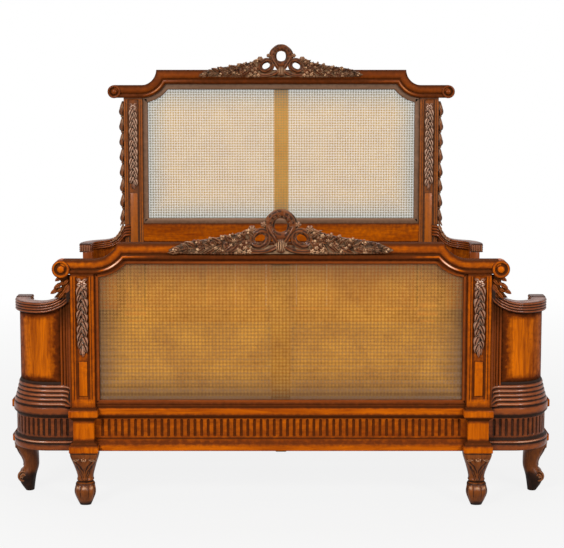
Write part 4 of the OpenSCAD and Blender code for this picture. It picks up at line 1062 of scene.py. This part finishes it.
def buildStrips(end):
    size, look, opening = bed[end], stripLook, innerX(end)
    strip, low, top, section = size["strip"], size["openLow"], railPoint(end, 0, 1)[1], look["section"]
    shape, stile = newShape(), newShape()
    def alongRail(stop, spot):
        (s, side), (share, d, g) = stop, spot
        x, z = railPoint(end, s, 1 + share * strip / size["runH"])
        return (side * min(x, opening - strip * share), d, z), g
    addGrid(shape, railRun, section, alongRail)
    for side in sides:                           # mitred at the lower corners
        addGrid(shape, (low, low + strip, top - strip, top), section, lambda z, spot: (
            (side * (opening - strip * spot[0]), spot[1], low + strip * spot[0] if z == low else z), spot[2]))
    addGrid(shape, (-opening + 1, 0, opening - 1), section,
            lambda x, spot: ((x, spot[1], low + strip * spot[0]), spot[2]))
    wood, slot = look[end]
    makePiece(f"{end}_cane_strips", "eased", [(shape, atFace(end))], woodOf(wood, "x"), slot)
    x, high = look["stileHalf"], railPoint(end, 3, 1 + strip / size["runH"])[1]
    addBlock(stile, -x, x, *look["stileDeep"], low + strip - 2, high + 2, 2)
    makePiece(f"{end}_stile", "eased", [(stile, atFace(end))], endWood(end, "pale", "z"), "polished_wood")


# woven cane: paired uprights, paired cross strands and two slanting strands

weave = {
    "pitch": 12.7, "wide": 1.9, "slantWide": 1.4, "gap": 1.35, "thick": 0.7, "front": 35.5, "wave": 0.45,
    # stain and painted shadow in from the frame, and painted shadow beside the foot's upright
    "stain": 0.92, "stainReach": 120, "stainFall": 1.35, "beside": 0.26, "besideAt": 42, "besideReach": 15,
}


def caneTop(end, x, inset):
    middle, run, r = railLevels(end, 1 + inset / bed[end]["runH"])
    gap = bed[end]["shoulderX"] - abs(x)
    if gap <= 0:
        return run
    return min(middle, run + r - math.sqrt(r * r - gap * gap)) if gap < r else middle


def addStrand(shape, points, normal, depths, shades, wide):
    # a flat strand through points in the panel's plane
    w, h = wide / 2, weave["thick"] / 2
    rows = []
    for (x, z), d in zip(points, depths):
        rows.append([(x + normal[0] * w, d, z + normal[1] * w), (x, d - h, z),
                     (x - normal[0] * w, d, z - normal[1] * w), (x, d + h * 0.6, z)])
    addRows(shape, rows, [[g] * 4 for g in shades])


def buildCane(end, material):
    size, look, p = bed[end], weave, weave["pitch"]
    inset = size["strip"] - 4
    half, low, high = innerX(end) - inset, size["openLow"] + inset, caneTop(end, 0, inset)
    columns, levels = int(half / p), int((high - low) / p)
    z0 = (low + high) / 2 - levels * p / 2
    # stain and painted shadow, darkest at the frame
    def stain(x, z):
        edge = min(half - abs(x), z - low, caneTop(end, x, inset) - z)
        # painted shadow on both sides of the foot's upright
        beside = look["beside"] * near(abs(x) - look["besideAt"], look["besideReach"]) * (end == "foot")
        share = min(1.0, max(0.0, 1 - edge / look["stainReach"]))
        return max(beside, look["stain"] * share ** look["stainFall"])
    uprights, crossings, slants = newShape(), newShape(), newShape()
    across = [c * p for c in range(-columns, columns + 1)]
    for column in across:
        for strand in (-1, 1):
            x = column + strand * look["gap"]
            if abs(x) > half - 1:
                continue
            top = caneTop(end, x, inset)
            zs = [low] + [z0 + k * p for k in range(levels + 1) if low < z0 + k * p < top] + [top]
            depths = [look["front"] + look["wave"] * strand * (-1) ** k for k in range(len(zs))]
            addStrand(uprights, [(x, z) for z in zs], (1, 0), depths, [stain(x, z) for z in zs], look["wide"])
    for k in range(levels + 1):
        for strand in (-1, 1):
            z = z0 + k * p + strand * look["gap"]
            if z < low + 1 or z > high - 1:
                continue
            xs = [x for x in across if caneTop(end, x, inset) > z]
            edge = xs[-1]
            while edge < half and caneTop(end, edge + 1, inset) > z:
                edge += 1
            xs = [-edge] + [x for x in xs if abs(x) < edge - 2] + [edge]
            depths = [look["front"] - look["wave"] * strand * (-1) ** n for n in range(len(xs))]
            addStrand(crossings, [(x, z) for x in xs], (0, 1), depths, [stain(x, z) for x in xs],
                      look["wide"])
    lean, count = math.sqrt(0.5), columns + levels + 2
    for direction in (-1, 1):
        depth = look["front"] - 0.95 - 0.25 * direction
        for n in range(-count, count + 1):
            inside, k = [], low - z0
            while k <= (levels + 1) * p:         # led over the crossings, so the holes stay open
                x, z = (n - direction * (levels // 2)) * p + direction * k, z0 + k
                if abs(x) < half and low <= z < caneTop(end, x, inset):
                    inside.append((x, z))
                k += p / 4
            if len(inside) < 3:
                continue
            keep = inside[::12] + ([inside[-1]] if (len(inside) - 1) % 12 else [])
            addStrand(slants, keep, (lean, -lean * direction), [depth] * len(keep),
                      [stain(x, z) for x, z in keep], look["slantWide"])
    for name, shape in (("uprights", uprights), ("crossings", crossings), ("slants", slants)):
        makePiece(f"{end}_cane", name, [(shape, atFace(end))], material, "cane", 60)


# crests: a ribbon ring and two loops over a knot, with flowers and leaves

crestLook = {
    "seed": 7,
    "ring": {"up": 67, "r": 41.5, "wide": 16.5, "thick": 10, "folds": 11, "foldIn": 28, "foldOut": 57},
    "loop": {"x": 74, "z": 20, "radii": (31, 26), "lean": -28, "wide": 11.5, "thick": 9.5, "folds": 9,
             "foldIn": (20, 16), "foldOut": (41, 36)},
    "knot": {"at": (0, -3, -5), "radii": (21, 9.5, 29)},
    # the ribbon's ends: points, half width, thickness and turns
    "tails": [([(46, 66, -1), (37, 44, -5), (25, 22, -6), (15, 6, -5)], 8, 6.5, 0.5),
              ([(10, -8, -3), (38, -22, -4), (76, -28, -4), (112, -22, -4), (136, 2, -3)], 8, 7, 0.7)],
    "edge": [(96, 66), (155, 44), (225, 29), (290, 20), (355, 7), (400, -14)],
    "under": [(400, -24), (380, -31), (330, -35), (200, -36.5), (96, -36.5)],
    "middle": [(100, -36), (100, -10), (60, -4), (-60, -4), (-100, -10), (-100, -36)],
    "stem": [(92, 22), (150, 6), (220, -7), (300, -14), (385, -22)],
    "leaves": ((1, 50, 0.40), (-1, -38, 0.42)),  # up or down, lean, width as a share of length
    "lowerLobes": 24, "buds": 54,
    "flowers": [(144, 16, 22, 5), (190, -6, 19, 5), (240, 2, 16, 5), (284, -14, 14, 4), (336, -14, 12, 4)],
    "posy": [(112, -25, 10), (127, -13, 9), (130, -29, 8), (147, -23, 9), (160, -31, 6), (141, -2, 7),
             (167, 13, 8), (177, -3, 6), (148, 30, 8), (232, -14, 7), (243, -3, 5), (264, -16, 6),
             (303, -29, 6)],
    "tendrils": [(128, 40, 10), (207, 22, 9), (296, 8, 8)],
    "berries": [(118, 8), (150, -20), (212, -22), (208, 24), (252, 16), (298, -24), (296, 4), (378, -22),
                (176, 32), (118, 46)],
    "bosses": [(103, 54, 14, 9, 12, 6, 24), (61, 70, 11, 8, 10, 5, 20)],
}


def addPlate(shape, outline, front, back, shade):
    # a flat ground with an eased front edge
    count, inner = len(outline), []
    for i, (x, z) in enumerate(outline):
        (ax, az), (bx, bz) = outline[i - 1], outline[(i + 1) % count]
        nx, nz = -(bz - az), bx - ax
        size = math.hypot(nx, nz) or 1
        inner.append((x + nx / size * 1.5, z + nz / size * 1.5))
    levels = ((inner, front), (outline, front + 1.5), (outline, back))
    rows = [[(x, d, z) for x, z in line] for line, d in levels]
    addRows(shape, rows, [shade] * count)


def twistedBand(wide, high, count, spin, ridges):
    # a ribbon rolled round its own length
    return [tubeSection(wide, high, 14, ridges, 0.15, spin * 2 * math.pi * k / count) for k in range(count)]


def addLoop(shape, centre, radii, lean, band, depth):
    (cx, cz), (rx, rz), q = centre, radii, math.radians(lean)
    line = []
    for a in turns(len(band)):
        x, z = rx * math.cos(a), rz * math.sin(a)
        line.append((cx + x * math.cos(q) - z * math.sin(q), depth, cz + x * math.sin(q) + z * math.cos(q)))
    addBand(shape, line, band, loop=True)


def addRibbon(shape, side, at):
    # one loop with its folds, and the ribbon's ends that run out along the rail
    loop = crestLook["loop"]
    x0, z0 = loop["x"], loop["z"]
    band = twistedBand(loop["wide"], loop["thick"], 64, 2 * side, 5)
    addLoop(shape, (side * x0, z0), loop["radii"], side * loop["lean"], band, -1)
    (inX, inZ), (outX, outZ) = loop["foldIn"], loop["foldOut"]
    for k in range(loop["folds"]):
        a = math.radians(40 * k)
        lean = a + 0.4
        addLeaf(shape, at(x0 + inX * math.cos(a), z0 + inZ * math.sin(a), -5),
                at(x0 + outX * math.cos(lean), z0 + outZ * math.sin(lean), -4), 9, 5.5, sink=4)
    for points, wide, high, spin in crestLook["tails"]:
        tail = smoothLine([at(*point) for point in points], 6)
        addBand(shape, tail, twistedBand(wide, high, len(tail), spin * side, 4))


def addGrounds(shape, side, at):
    # plates that carry the leaves: the whole spray, and its upper part above the rail
    look = crestLook
    top = smoothLine(look["edge"], 5)
    whole = [(100, 56)] + [(x, z - 7) for x, z in top[1:]] + look["under"]
    upper = [(x, z - 7) for x, z in top if z > 9]
    upper = [(98, 1)] + upper + [(upper[-1][0], 1)]
    for outline, front, back in ((whole, -3, 0), (upper, -2.4, 11)):
        outline = [at(x, z)[::2] for x, z in outline]
        addPlate(shape, outline[::-1] if side > 0 else outline, front, back, 0.7)


def addSpray(shape, side, at, draw):
    # lobed leaves on a stem that runs out from the loop, small lobes along the lower edge, and flowers
    look = crestLook
    stem = smoothLine(look["stem"], 10)
    addBand(shape, [at(x, z, -4) for x, z in stem], tubeSection(3.2, 3.5, 8))
    for i in range(0, len(stem) - 3, 3):
        x, z = stem[i]
        share = i / len(stem)
        for up, turn, wide in look["leaves"]:
            lean = math.radians(mix(turn, turn * 0.62, share) + draw.uniform(-14, 22) * up)
            reach = smoothAt(look["edge"], min(395, x + 24)) - z - 5 if up > 0 else z + 34 - 4 * share
            size = max(17, min(62, reach / abs(math.sin(lean)))) * draw.uniform(0.92, 1.06)
            tip = at(x + size * math.cos(lean), z + size * math.sin(lean), -3)
            addLeaf(shape, at(x, z, -3), tip, size * wide, 8.5, curl=2, sink=4, rib=0.4, lobes=4, steps=13,
                    sway=-side * up * 4, bright=draw.choice((0, 0, 0, 0.3)))
        if i % 4 == 0:
            tip = at(x + 30, z + mix(20, 6, share), -5)
            addLeaf(shape, at(x + 4, z + 2, -7), tip, 12, 6, sink=2, lobes=3, steps=9)
    count = look["lowerLobes"]
    for i in range(count):
        addBead(shape, at(104 + i * 12, -33 + 4 * (i / count) ** 3, -3), (6.2, 5, 4.4))
    for x, z, r, petals in look["flowers"]:
        addFlower(shape, at(x, z, -4.5), r, petals, spin=draw.uniform(0, 6), bright=draw.uniform(0, 0.45))


def addBuds(shape, at, draw):
    # buds and small curled leaves in clusters, with painted highlights that are brighter near the loop
    look = crestLook
    for i in range(look["buds"]):
        x = 100 + 288 * (i / look["buds"]) ** 1.15
        z = draw.uniform(-28, max(-24, smoothAt(look["edge"], x) - 12))
        bright = draw.choice((0, 0, 0.15, 1)) * (1 - (x - 100) / 420)
        if i % 3:
            r = draw.uniform(3.6, 7.5)
            addBead(shape, at(x, z, draw.uniform(-6.5, -4)), (r, 6, r * draw.uniform(0.6, 1.1)), 12, lobes=4,
                    lobe=0.15, bright=bright)
        else:
            a, size = draw.uniform(0, 2 * math.pi), draw.uniform(11, 20)
            addLeaf(shape, at(x, z, -5), at(x + size * math.cos(a), max(-32, z + size * math.sin(a)), -4),
                    size * 0.6, 6, curl=1.5, sink=3, rib=0.45, lobes=2, steps=8, bright=bright)
    for x, z, r in look["posy"]:                 # full round blossoms with painted highlights
        addBall(shape, at(x, z, -6), (r, 7, r * 0.9), lobes=5, lobe=0.16, sidesAround=20,
                bright=draw.uniform(0.55, 1))
        addBead(shape, at(x, z, -11.5), (r * 0.28, 2, r * 0.28), 8)
    for x, z, r in look["tendrils"]:             # curled tendrils
        curl = []
        for k in range(22):
            a, reach = math.radians(200 - 24 * k), r * (1 - k / 30)
            curl.append(at(x + reach * math.cos(a), z + reach * math.sin(a), -6 - k * 0.12))
        addBand(shape, curl, tubeSection(2.6, 3, 8))
    for x, z in look["berries"]:                 # berries in threes, with painted highlights
        for k in range(3):
            a = math.radians(120 * k + draw.uniform(0, 90))
            r = draw.uniform(4.0, 5.4)
            addBead(shape, at(x + 5.4 * math.cos(a), z + 5.4 * math.sin(a), -6.5), (r, 5.5, r),
                    bright=draw.uniform(0.1, 1))
    for x, z, rx, ry, rz, lobes, around in look["bosses"]:
        addBall(shape, at(x, z, -3), (rx, ry, rz), lobes=lobes, lobe=0.1, sidesAround=around, bright=0.4)


def buildCrest(end):
    ring, knot, shape = crestLook["ring"], crestLook["knot"], newShape()
    draw = random.Random(crestLook["seed"])
    z0, r0, r1 = ring["up"], ring["foldIn"], ring["foldOut"]
    addLoop(shape, (0, z0), (ring["r"], ring["r"]), 0, twistedBand(ring["wide"], ring["thick"], 80, 2, 6), 1)
    for k in range(ring["folds"]):               # folds gathered across the ring
        a = math.radians(-45 + 27 * k)
        lean = a + 0.3
        addLeaf(shape, (r0 * math.cos(a), -4, z0 + r0 * math.sin(a)),
                (r1 * math.cos(lean), -3, z0 + r1 * math.sin(lean)), 11, 6.5, sink=4)
    for side in sides:
        def at(x, z, d=0.0):
            return (side * x, d, z)
        addRibbon(shape, side, at)
        addGrounds(shape, side, at)
        addSpray(shape, side, at, draw)
        addBuds(shape, at, draw)
    addBall(shape, knot["at"], knot["radii"], lobes=16, lobe=0.07, sidesAround=96, rings=16, axis="z",
            bright=0.8)
    addPlate(shape, crestLook["middle"], -2.7, 0, 0.8)
    makePiece(f"{end}_crest", "carved", [(shape, shifted(atFace(end), 0, bed[end]["railTop"]))],
              woodOf("crest", "x"), "carved_wood", 60)


# garlands in the posts

garlandLook = {
    # bright is how strongly the leaves' crowns take painted highlights
    "foot": {"pitch": 28, "leaf": 42, "wide": 19, "bright": 0.35},
    "head": {"pitch": 30, "leaf": 46, "wide": 20, "bright": 0.8},
    "flowerDown": 24, "flowerR": 18,
}


def buildGarlands(end):
    look, (low, high) = garlandLook[end], bed[end]["garland"]
    ground, shape = postLook["back"] + 6, newShape()
    stem = [(0, ground - 4, z) for z in (low + 12, mix(low, high, 0.5), high - 20)]
    addBand(shape, stem, tubeSection(4, 4, 8))
    for i in range(int((high - low - 62) / look["pitch"])):
        z = high - 46 - i * look["pitch"]
        for s in (-1, 1):
            up, grow = s * 7, 1 + 0.12 * math.sin(2.4 * i + s)
            tip = (s * 15 * grow, ground - 3.5, z - look["leaf"] * 0.6 * grow + up)
            addLeaf(shape, (s * 1, ground - 3.5, z + 12 + up), tip, look["wide"] * grow, 9.5, curl=3.5,
                    sink=3.5, rib=0.45, steps=9, sway=-s * 3, bright=look["bright"])
        addBead(shape, (0, ground - 6.5, z + 2), (4.2, 4.2, 6))
    addLeaf(shape, (-2, ground - 3, low + 34), (-1, ground - 2, low), 15, 6)
    addLeaf(shape, (3, ground - 4, low + 38), (9, ground - 2, low + 8), 12, 6)
    addFlower(shape, (0, ground - 5, high - garlandLook["flowerDown"]), garlandLook["flowerR"])
    for s in (-1, 1):                            # bow at the top
        addLeaf(shape, (s * 2, ground - 3, high - 12), (s * 20, ground - 3, high - 4), 12, 5)
        addLeaf(shape, (s * 8, ground - 3, high - 30), (s * 19, ground - 3, high - 46), 11, 5)
    makePiece(f"{end}_garlands", "carved",
              [(shape, shifted(atFace(end, side), bed[end]["postX"])) for side in (1, -1)],
              woodOf("carved", "z"), "carved_wood", 60)


# husks down the outer sides of the head posts, leaves below the foot scrolls

huskLook = {
    "count": 8, "r": 25, "lobes": 5, "low": 781, "high": 1385, "deep": 37, "span": 97,
    # (height in 80ths, share of the radius, glaze and painted shade; below 0 a painted highlight)
    "profile": [(0, 0.4, 1), (3, 0.62, 0.7), (8, 0.82, 0.2), (15, 0.95, -0.2), (23, 1.0, -0.5),
                (31, 0.97, -0.3), (40, 0.86, 0), (49, 0.70, 0.1), (58, 0.56, 0.4), (66, 0.48, 0.8),
                (72, 0.5, 0.3), (78, 0.44, 1)],
    "leaves": (-80, -48, -16, 16, 48, 80), "spread": (-60, -20, 20, 60), "run": 4,
}


def buildHusks():
    look, shape = huskLook, newShape()
    x, d, low = outerX("head"), look["deep"], look["low"]
    pitch = (look["high"] - low) / look["count"]
    for i in range(look["count"]):
        z0 = low + i * pitch
        def pointAt(spot, a):
            h, share, dark = spot
            wave = abs(math.cos(look["lobes"] * a / 2 * 1.3)) ** 0.6
            swell = 1 + (0.30 * (wave - 0.75)) * (1 - h / 90)
            hang = (1 - wave) * 6 * max(0, 1 - h / 30)
            r = look["r"] * share * swell
            # painted shade between the lobes
            return ((x + r * math.cos(a), d + r * 0.95 * math.sin(a), z0 + 2 + h * pitch / 80 + hang),
                    max(dark, (1 - wave) * 0.9))
        around = [math.radians(-look["span"] + 2 * look["span"] * k / 28) for k in range(29)]
        addGrid(shape, look["profile"], around, pointAt)
        for a in look["leaves"]:
            c, s = math.cos(math.radians(a)), math.sin(math.radians(a))
            root, tip = (x + 9 * c, d + 9 * s, z0 + pitch * 0.97), (x + 20 * c, d + 20 * s, z0 + pitch * 0.42)
            addLeaf(shape, root, tip, 14, 4, out=(c, s, 0.5), curl=3, sink=3, rib=0.4, steps=8, bright=0.5)
        addBead(shape, (x + 6, d, z0 + 1), (12, 12, 9), 12, axis="z")
    for a in look["spread"]:                     # spreading leaves where the chain meets the wing
        c, s = math.cos(math.radians(a)), math.sin(math.radians(a))
        addLeaf(shape, (x + 6 * c, d + 10 * s, low + 22), (x + 26 * c, d + 26 * s, low - 14), 18, 6,
                out=(c, s, 0.2))
    for k in range(look["run"]):                 # and run out along the capping's inner face
        away = 4 + 13 * k
        top = bed["head"]["capTop"] + wingLook["rise"] * (1 - away / 155) ** wingLook["bend"]
        addLeaf(shape, (x + away, -18, top + 16 - 3 * k), (x + away + 14, -36, top - 26 + 3 * k), 20, 6,
                out=(0.2, -1, 0.2), curl=2, sink=3, rib=0.4, lobes=3, steps=9, bright=0.6)
    makePiece("head_husks", "carved", [(shape, atFace("head", s)) for s in (1, -1)], woodOf("leg", "z"),
              "carved_wood", 50)


dropLook = {
    "ground": [(44, 6), (38, -14), (34, -30), (40, -46), (50, -60), (62, -74)],
    "lobes": [(55, -14, 17), (43, -31, 15), (60, -41, 18), (50, -54, 16), (72, -60, 18)],
    "leaves": [(16, -16), (14, -34), (22, -50), (34, -64)],
    "front": 22, "back": 50,
}


def buildLeafDrops():
    look, shape, (front, back) = dropLook, newShape(), (dropLook["front"], dropLook["back"])
    x, top = outerX("foot"), bed["foot"]["scrollZ"] - scrollLook["r"]
    rows = []
    for w, z in smoothLine([(w, top + z) for w, z in look["ground"]], 4):
        rows.append([(x - 1, front, z), (x + w - 6, front, z), (x + w - 2, front + 6, z),
                     (x + w - 2, back - 6, z), (x + w - 6, back, z), (x - 1, back, z)])
    # dark glaze and painted shade on the ground behind the lobes
    addRows(shape, rows, [0.9] * 6)
    for dx, dz, size in look["lobes"]:           # lobes that hang one below the other
        tipX, tipZ, rootZ = x + dx, top + dz, top + dz + size * 0.9
        addLeaf(shape, (tipX - size * 1.5, front + 2, rootZ), (tipX, front, tipZ), size * 0.85, 7, curl=2)
        addLeaf(shape, (tipX - size * 1.4, back - 2, rootZ), (tipX, back - 2, tipZ), size * 0.85, 7,
                out=(0, 1, 0), curl=2)
        addLeaf(shape, (tipX - size, 36, rootZ), (tipX + 1, 36, tipZ - 1), size, 6, out=(1, 0, 0.4))
    for dx, dz in look["leaves"]:
        addLeaf(shape, (x + dx - 12, front, top + dz + 12), (x + dx + 10, front - 1, top + dz - 14), 14, 6)
    makePiece("foot_leaf_drops", "carved", [(shape, atFace("foot", s)) for s in (1, -1)],
              woodOf("amber", "z"), "carved_wood", 50)


# head's lower rail and board

boardLook = {
    "z": (360, 690), "deep": (26, 42), "staves": 9, "joint": 0.3,
    # the rail above it: (height, depth, glaze and painted shade)
    "rail": [(690, 16, 0.6), (692, 14.5, 0.3), (695, 14, 0.2), (730, 13, 0.2), (758, 12, 0.28),
             (770, 11, 0.35), (776, 11.4, 0.5), (779, 13, 0.7), (780, 16, 0.9), (780, 56, 0.4),
             (778, 59.5, 0.2), (692, 59.5, 0.2), (690, 56, 0.4)],
}


def buildHeadBoards():
    look, x = boardLook, innerX("head")
    rail, board = newShape(), newShape()
    addGrid(rail, (-x, 0, x), look["rail"], lambda a, spot: ((a, spot[1], spot[0]), spot[2]))
    makePiece("head_mid_rail", "moulded", [(rail, atFace("head"))], woodOf("polished", "x"), "polished_wood")
    for i in range(look["staves"]):
        a, b = [mix(-x, x, n / look["staves"]) for n in (i, i + 1)]
        addBlock(board, a + look["joint"], b - look["joint"], *look["deep"], *look["z"], 1.8)
    makePiece("head_board", "jointed", [(board, atFace("head"))], woodOf("brown", "z"), "brown_wood")


# side rails, bearers, beam and slats

sideLook = {
    "railIn": 10, "railBack": -45, "flat": [(-10, 234, 0.6), (-10, 240, 0.1), (-10, 298, 0.1)],
    "bearerX": (882, 912), "bearerY": 910, "beamHalf": 25, "beamGap": 72, "memberZ": (205, 270),
    "cleatX": (911, 945), "cleatY": (-640, 0, 640), "cleatHalf": 40, "cleatZ": (213, 262),
    "propY": (-300, 0, 300), "propHalf": 22.5,
    "slats": 14, "slatY": 950, "slatX": 909, "slatHalf": 40, "slatZ": (270, 290),
}


def buildSideRail(side):
    look = sideLook
    half, x = bed["halfLength"] - bed["cornerY"] - wingLook["postLong"], bed["halfWidth"] - look["railIn"]
    profile = baseMould["straight"][:-1] + look["flat"] + baseMould["upper"][1:]
    profile = [(look["railBack"] if o <= baseMould["back"] else o, z, g) for o, z, g in profile]
    shape = newShape()
    addGrid(shape, (-half, -half * 0.5, 0, half * 0.5, half), profile,
            lambda y, spot: ((side * (x + spot[0]), y, spot[1]), spot[2]))
    makePiece(f"side_rail_{sides[side]}", "moulded", [(shape, asDrawn)], woodOf("polished", "y"),
              "polished_wood")


def buildSides():
    look = sideLook
    for side in sides:
        buildSideRail(side)
    bearers, beam, props, slats = newShape(), newShape(), newShape(), newShape()
    for side in sides:
        addBlock(bearers, *sorted(side * x for x in look["bearerX"]), -look["bearerY"], look["bearerY"],
                 *look["memberZ"], 3)
        for y in look["cleatY"]:
            addBlock(bearers, *sorted(side * x for x in look["cleatX"]), y - look["cleatHalf"],
                     y + look["cleatHalf"], *look["cleatZ"], 2)
    half, end = look["beamHalf"], bed["halfLength"] - look["beamGap"]
    addBlock(beam, -half, half, -end, end, *look["memberZ"], 3)
    half = look["propHalf"]
    for y in look["propY"]:
        addBlock(props, -half, half, y - half, y + half, -bed["lift"], look["memberZ"][0], 3)
    half = look["slatHalf"]
    for i in range(look["slats"]):
        y = mix(-look["slatY"], look["slatY"], i / (look["slats"] - 1))
        addBlock(slats, -look["slatX"], look["slatX"], y - half, y + half, *look["slatZ"], 3)
    for node, shape, axis in (("side_bearers", bearers, "y"), ("middle_beam", beam, "y"),
                              ("beam_props", props, "z"), ("slats", slats, "x")):
        makePiece(node, "planed", [(shape, asDrawn)], woodOf("slat", axis), "bare_wood")
    for name in ("beam_stirrups", "bed_bolts", "bolt_nuts"):
        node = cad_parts[name]
        node.data.materials.clear()
        node.data.materials.append(steel)


canes = {"foot": caneOf("golden"), "head": caneOf("pale")}
for end in ("foot", "head"):
    buildBaseRail(end)
    for side in sides:
        buildPost(end, side)
        buildLegs(end, side)
    buildWings(end)
    buildTopRail(end)
    buildStrips(end)
    buildCane(end, canes[end])
    buildCrest(end)
    buildGarlands(end)
    print(end, "end made")
buildHusks()
buildLeafDrops()
buildHeadBoards()
buildSides()
print("sides and slats made")


# floor, light and camera

stageLook = {"floor": (0.32, 0.31, 0.30), "back": (1.0, 1.0, 1.0), "sky": (1.0, 0.98, 0.96), "skyPower": 0.2,
             "near": 1.3, "far": 4.0, "white": (0.86, 1.0), "rough": 0.9, "shine": 0.1,
             "corners": [(-40, -30, 0), (40, -30, 0), (40, 60, 0), (-40, 60, 0)]}


def whiteRays(tree):
    # the pale ground shows to the camera, and in metal and gloss
    light = addNode(tree, "ShaderNodeLightPath").outputs
    seen = addMath(tree, "ADD", light["Is Camera Ray"], light["Is Glossy Ray"], clamp=True)
    return addMath(tree, "ADD", seen, light["Is Transmission Ray"], clamp=True)


def blendOver(tree, share, plain, white, end):
    # a lit surface or sky, and over it the plain white that only some rays meet
    both = addNode(tree, "ShaderNodeMixShader", {0: share, 1: plain.outputs[0], 2: white.outputs[0]})
    setInputs(tree, tree.nodes[end], {"Surface": both.outputs[0]})


def buildFloor():
    look = stageLook
    mesh = bpy.data.meshes.new("paleFloor")
    mesh.from_pydata(look["corners"], [], [(0, 1, 2, 3)])
    floor = bpy.data.objects.new("paleFloor", mesh)
    bpy.context.scene.collection.objects.link(floor)
    material, tree, shader = newMaterial("paleFloor")
    setInputs(tree, shader, {"Base Color": (*look["floor"], 1), "Roughness": look["rough"],
                             "Specular IOR Level": look["shine"]})
    place = addNode(tree, "ShaderNodeNewGeometry").outputs["Position"]
    away = addNode(tree, "ShaderNodeVectorMath", {0: place}, operation="LENGTH").outputs["Value"]
    share = addRange(tree, away, look["near"], look["far"], *look["white"])
    glow = addNode(tree, "ShaderNodeEmission", {"Color": (*look["back"], 1), "Strength": 1.0})
    blendOver(tree, addMath(tree, "MULTIPLY", whiteRays(tree), share), shader, glow, "Material Output")
    mesh.materials.append(material)


def buildWorld():
    world = bpy.data.worlds.new("paleStudio")
    bpy.context.scene.world = world
    world.use_nodes = True
    tree = world.node_tree
    plain = tree.nodes["Background"]
    setInputs(tree, plain, {"Color": (*stageLook["sky"], 1), "Strength": stageLook["skyPower"]})
    white = addNode(tree, "ShaderNodeBackground", {"Color": (*stageLook["back"], 1), "Strength": 1.0})
    blendOver(tree, whiteRays(tree), plain, white, "World Output")


softboxes = {
    "keyBox": {"at": (-3.0, -5.4, 3.6), "aim": (0, -0.6, 0.7), "size": (1.5, 1.1), "power": 275},
    "fillBox": {"at": (3.4, -5.2, 2.9), "aim": (0, -0.6, 0.6), "size": (1.1, 1.4), "power": 185},
    "topBox": {"at": (0, -0.6, 5.0), "aim": (0, 0, 0.4), "size": (4.5, 3.5), "power": 95},
    "backBox": {"at": (0, 4.6, 4.8), "aim": (0, 0.8, 0.9), "size": (5.0, 3.0), "power": 150},
}


def buildLights():
    for name, look in softboxes.items():
        lamp = bpy.data.lights.new(name, "AREA")
        lamp.shape = "RECTANGLE"
        lamp.size, lamp.size_y = look["size"]
        lamp.energy = look["power"]
        box = bpy.data.objects.new(name, lamp)
        box.location = look["at"]
        box.rotation_euler = (Vector(look["aim"]) - Vector(look["at"])).to_track_quat("-Z", "Y").to_euler()
        bpy.context.scene.collection.objects.link(box)


cameraLook = {"at": (0.004, -6.363, 1.6455), "pitch": 6.35, "lens": 95.6, "shift": -0.1, "far": 200}


def buildCamera():
    camera = bpy.data.objects.new("camera", bpy.data.cameras.new("camera"))
    camera.location = cameraLook["at"]
    camera.rotation_euler = (math.radians(90 - cameraLook["pitch"]), 0, 0)
    camera.data.lens = cameraLook["lens"]
    camera.data.shift_y = cameraLook["shift"]
    camera.data.clip_end = cameraLook["far"]
    bpy.context.scene.collection.objects.link(camera)
    bpy.context.scene.camera = camera


buildFloor()
buildWorld()
buildLights()
buildCamera()
bpy.context.scene.view_settings.view_transform = "Standard"
print("stage made")
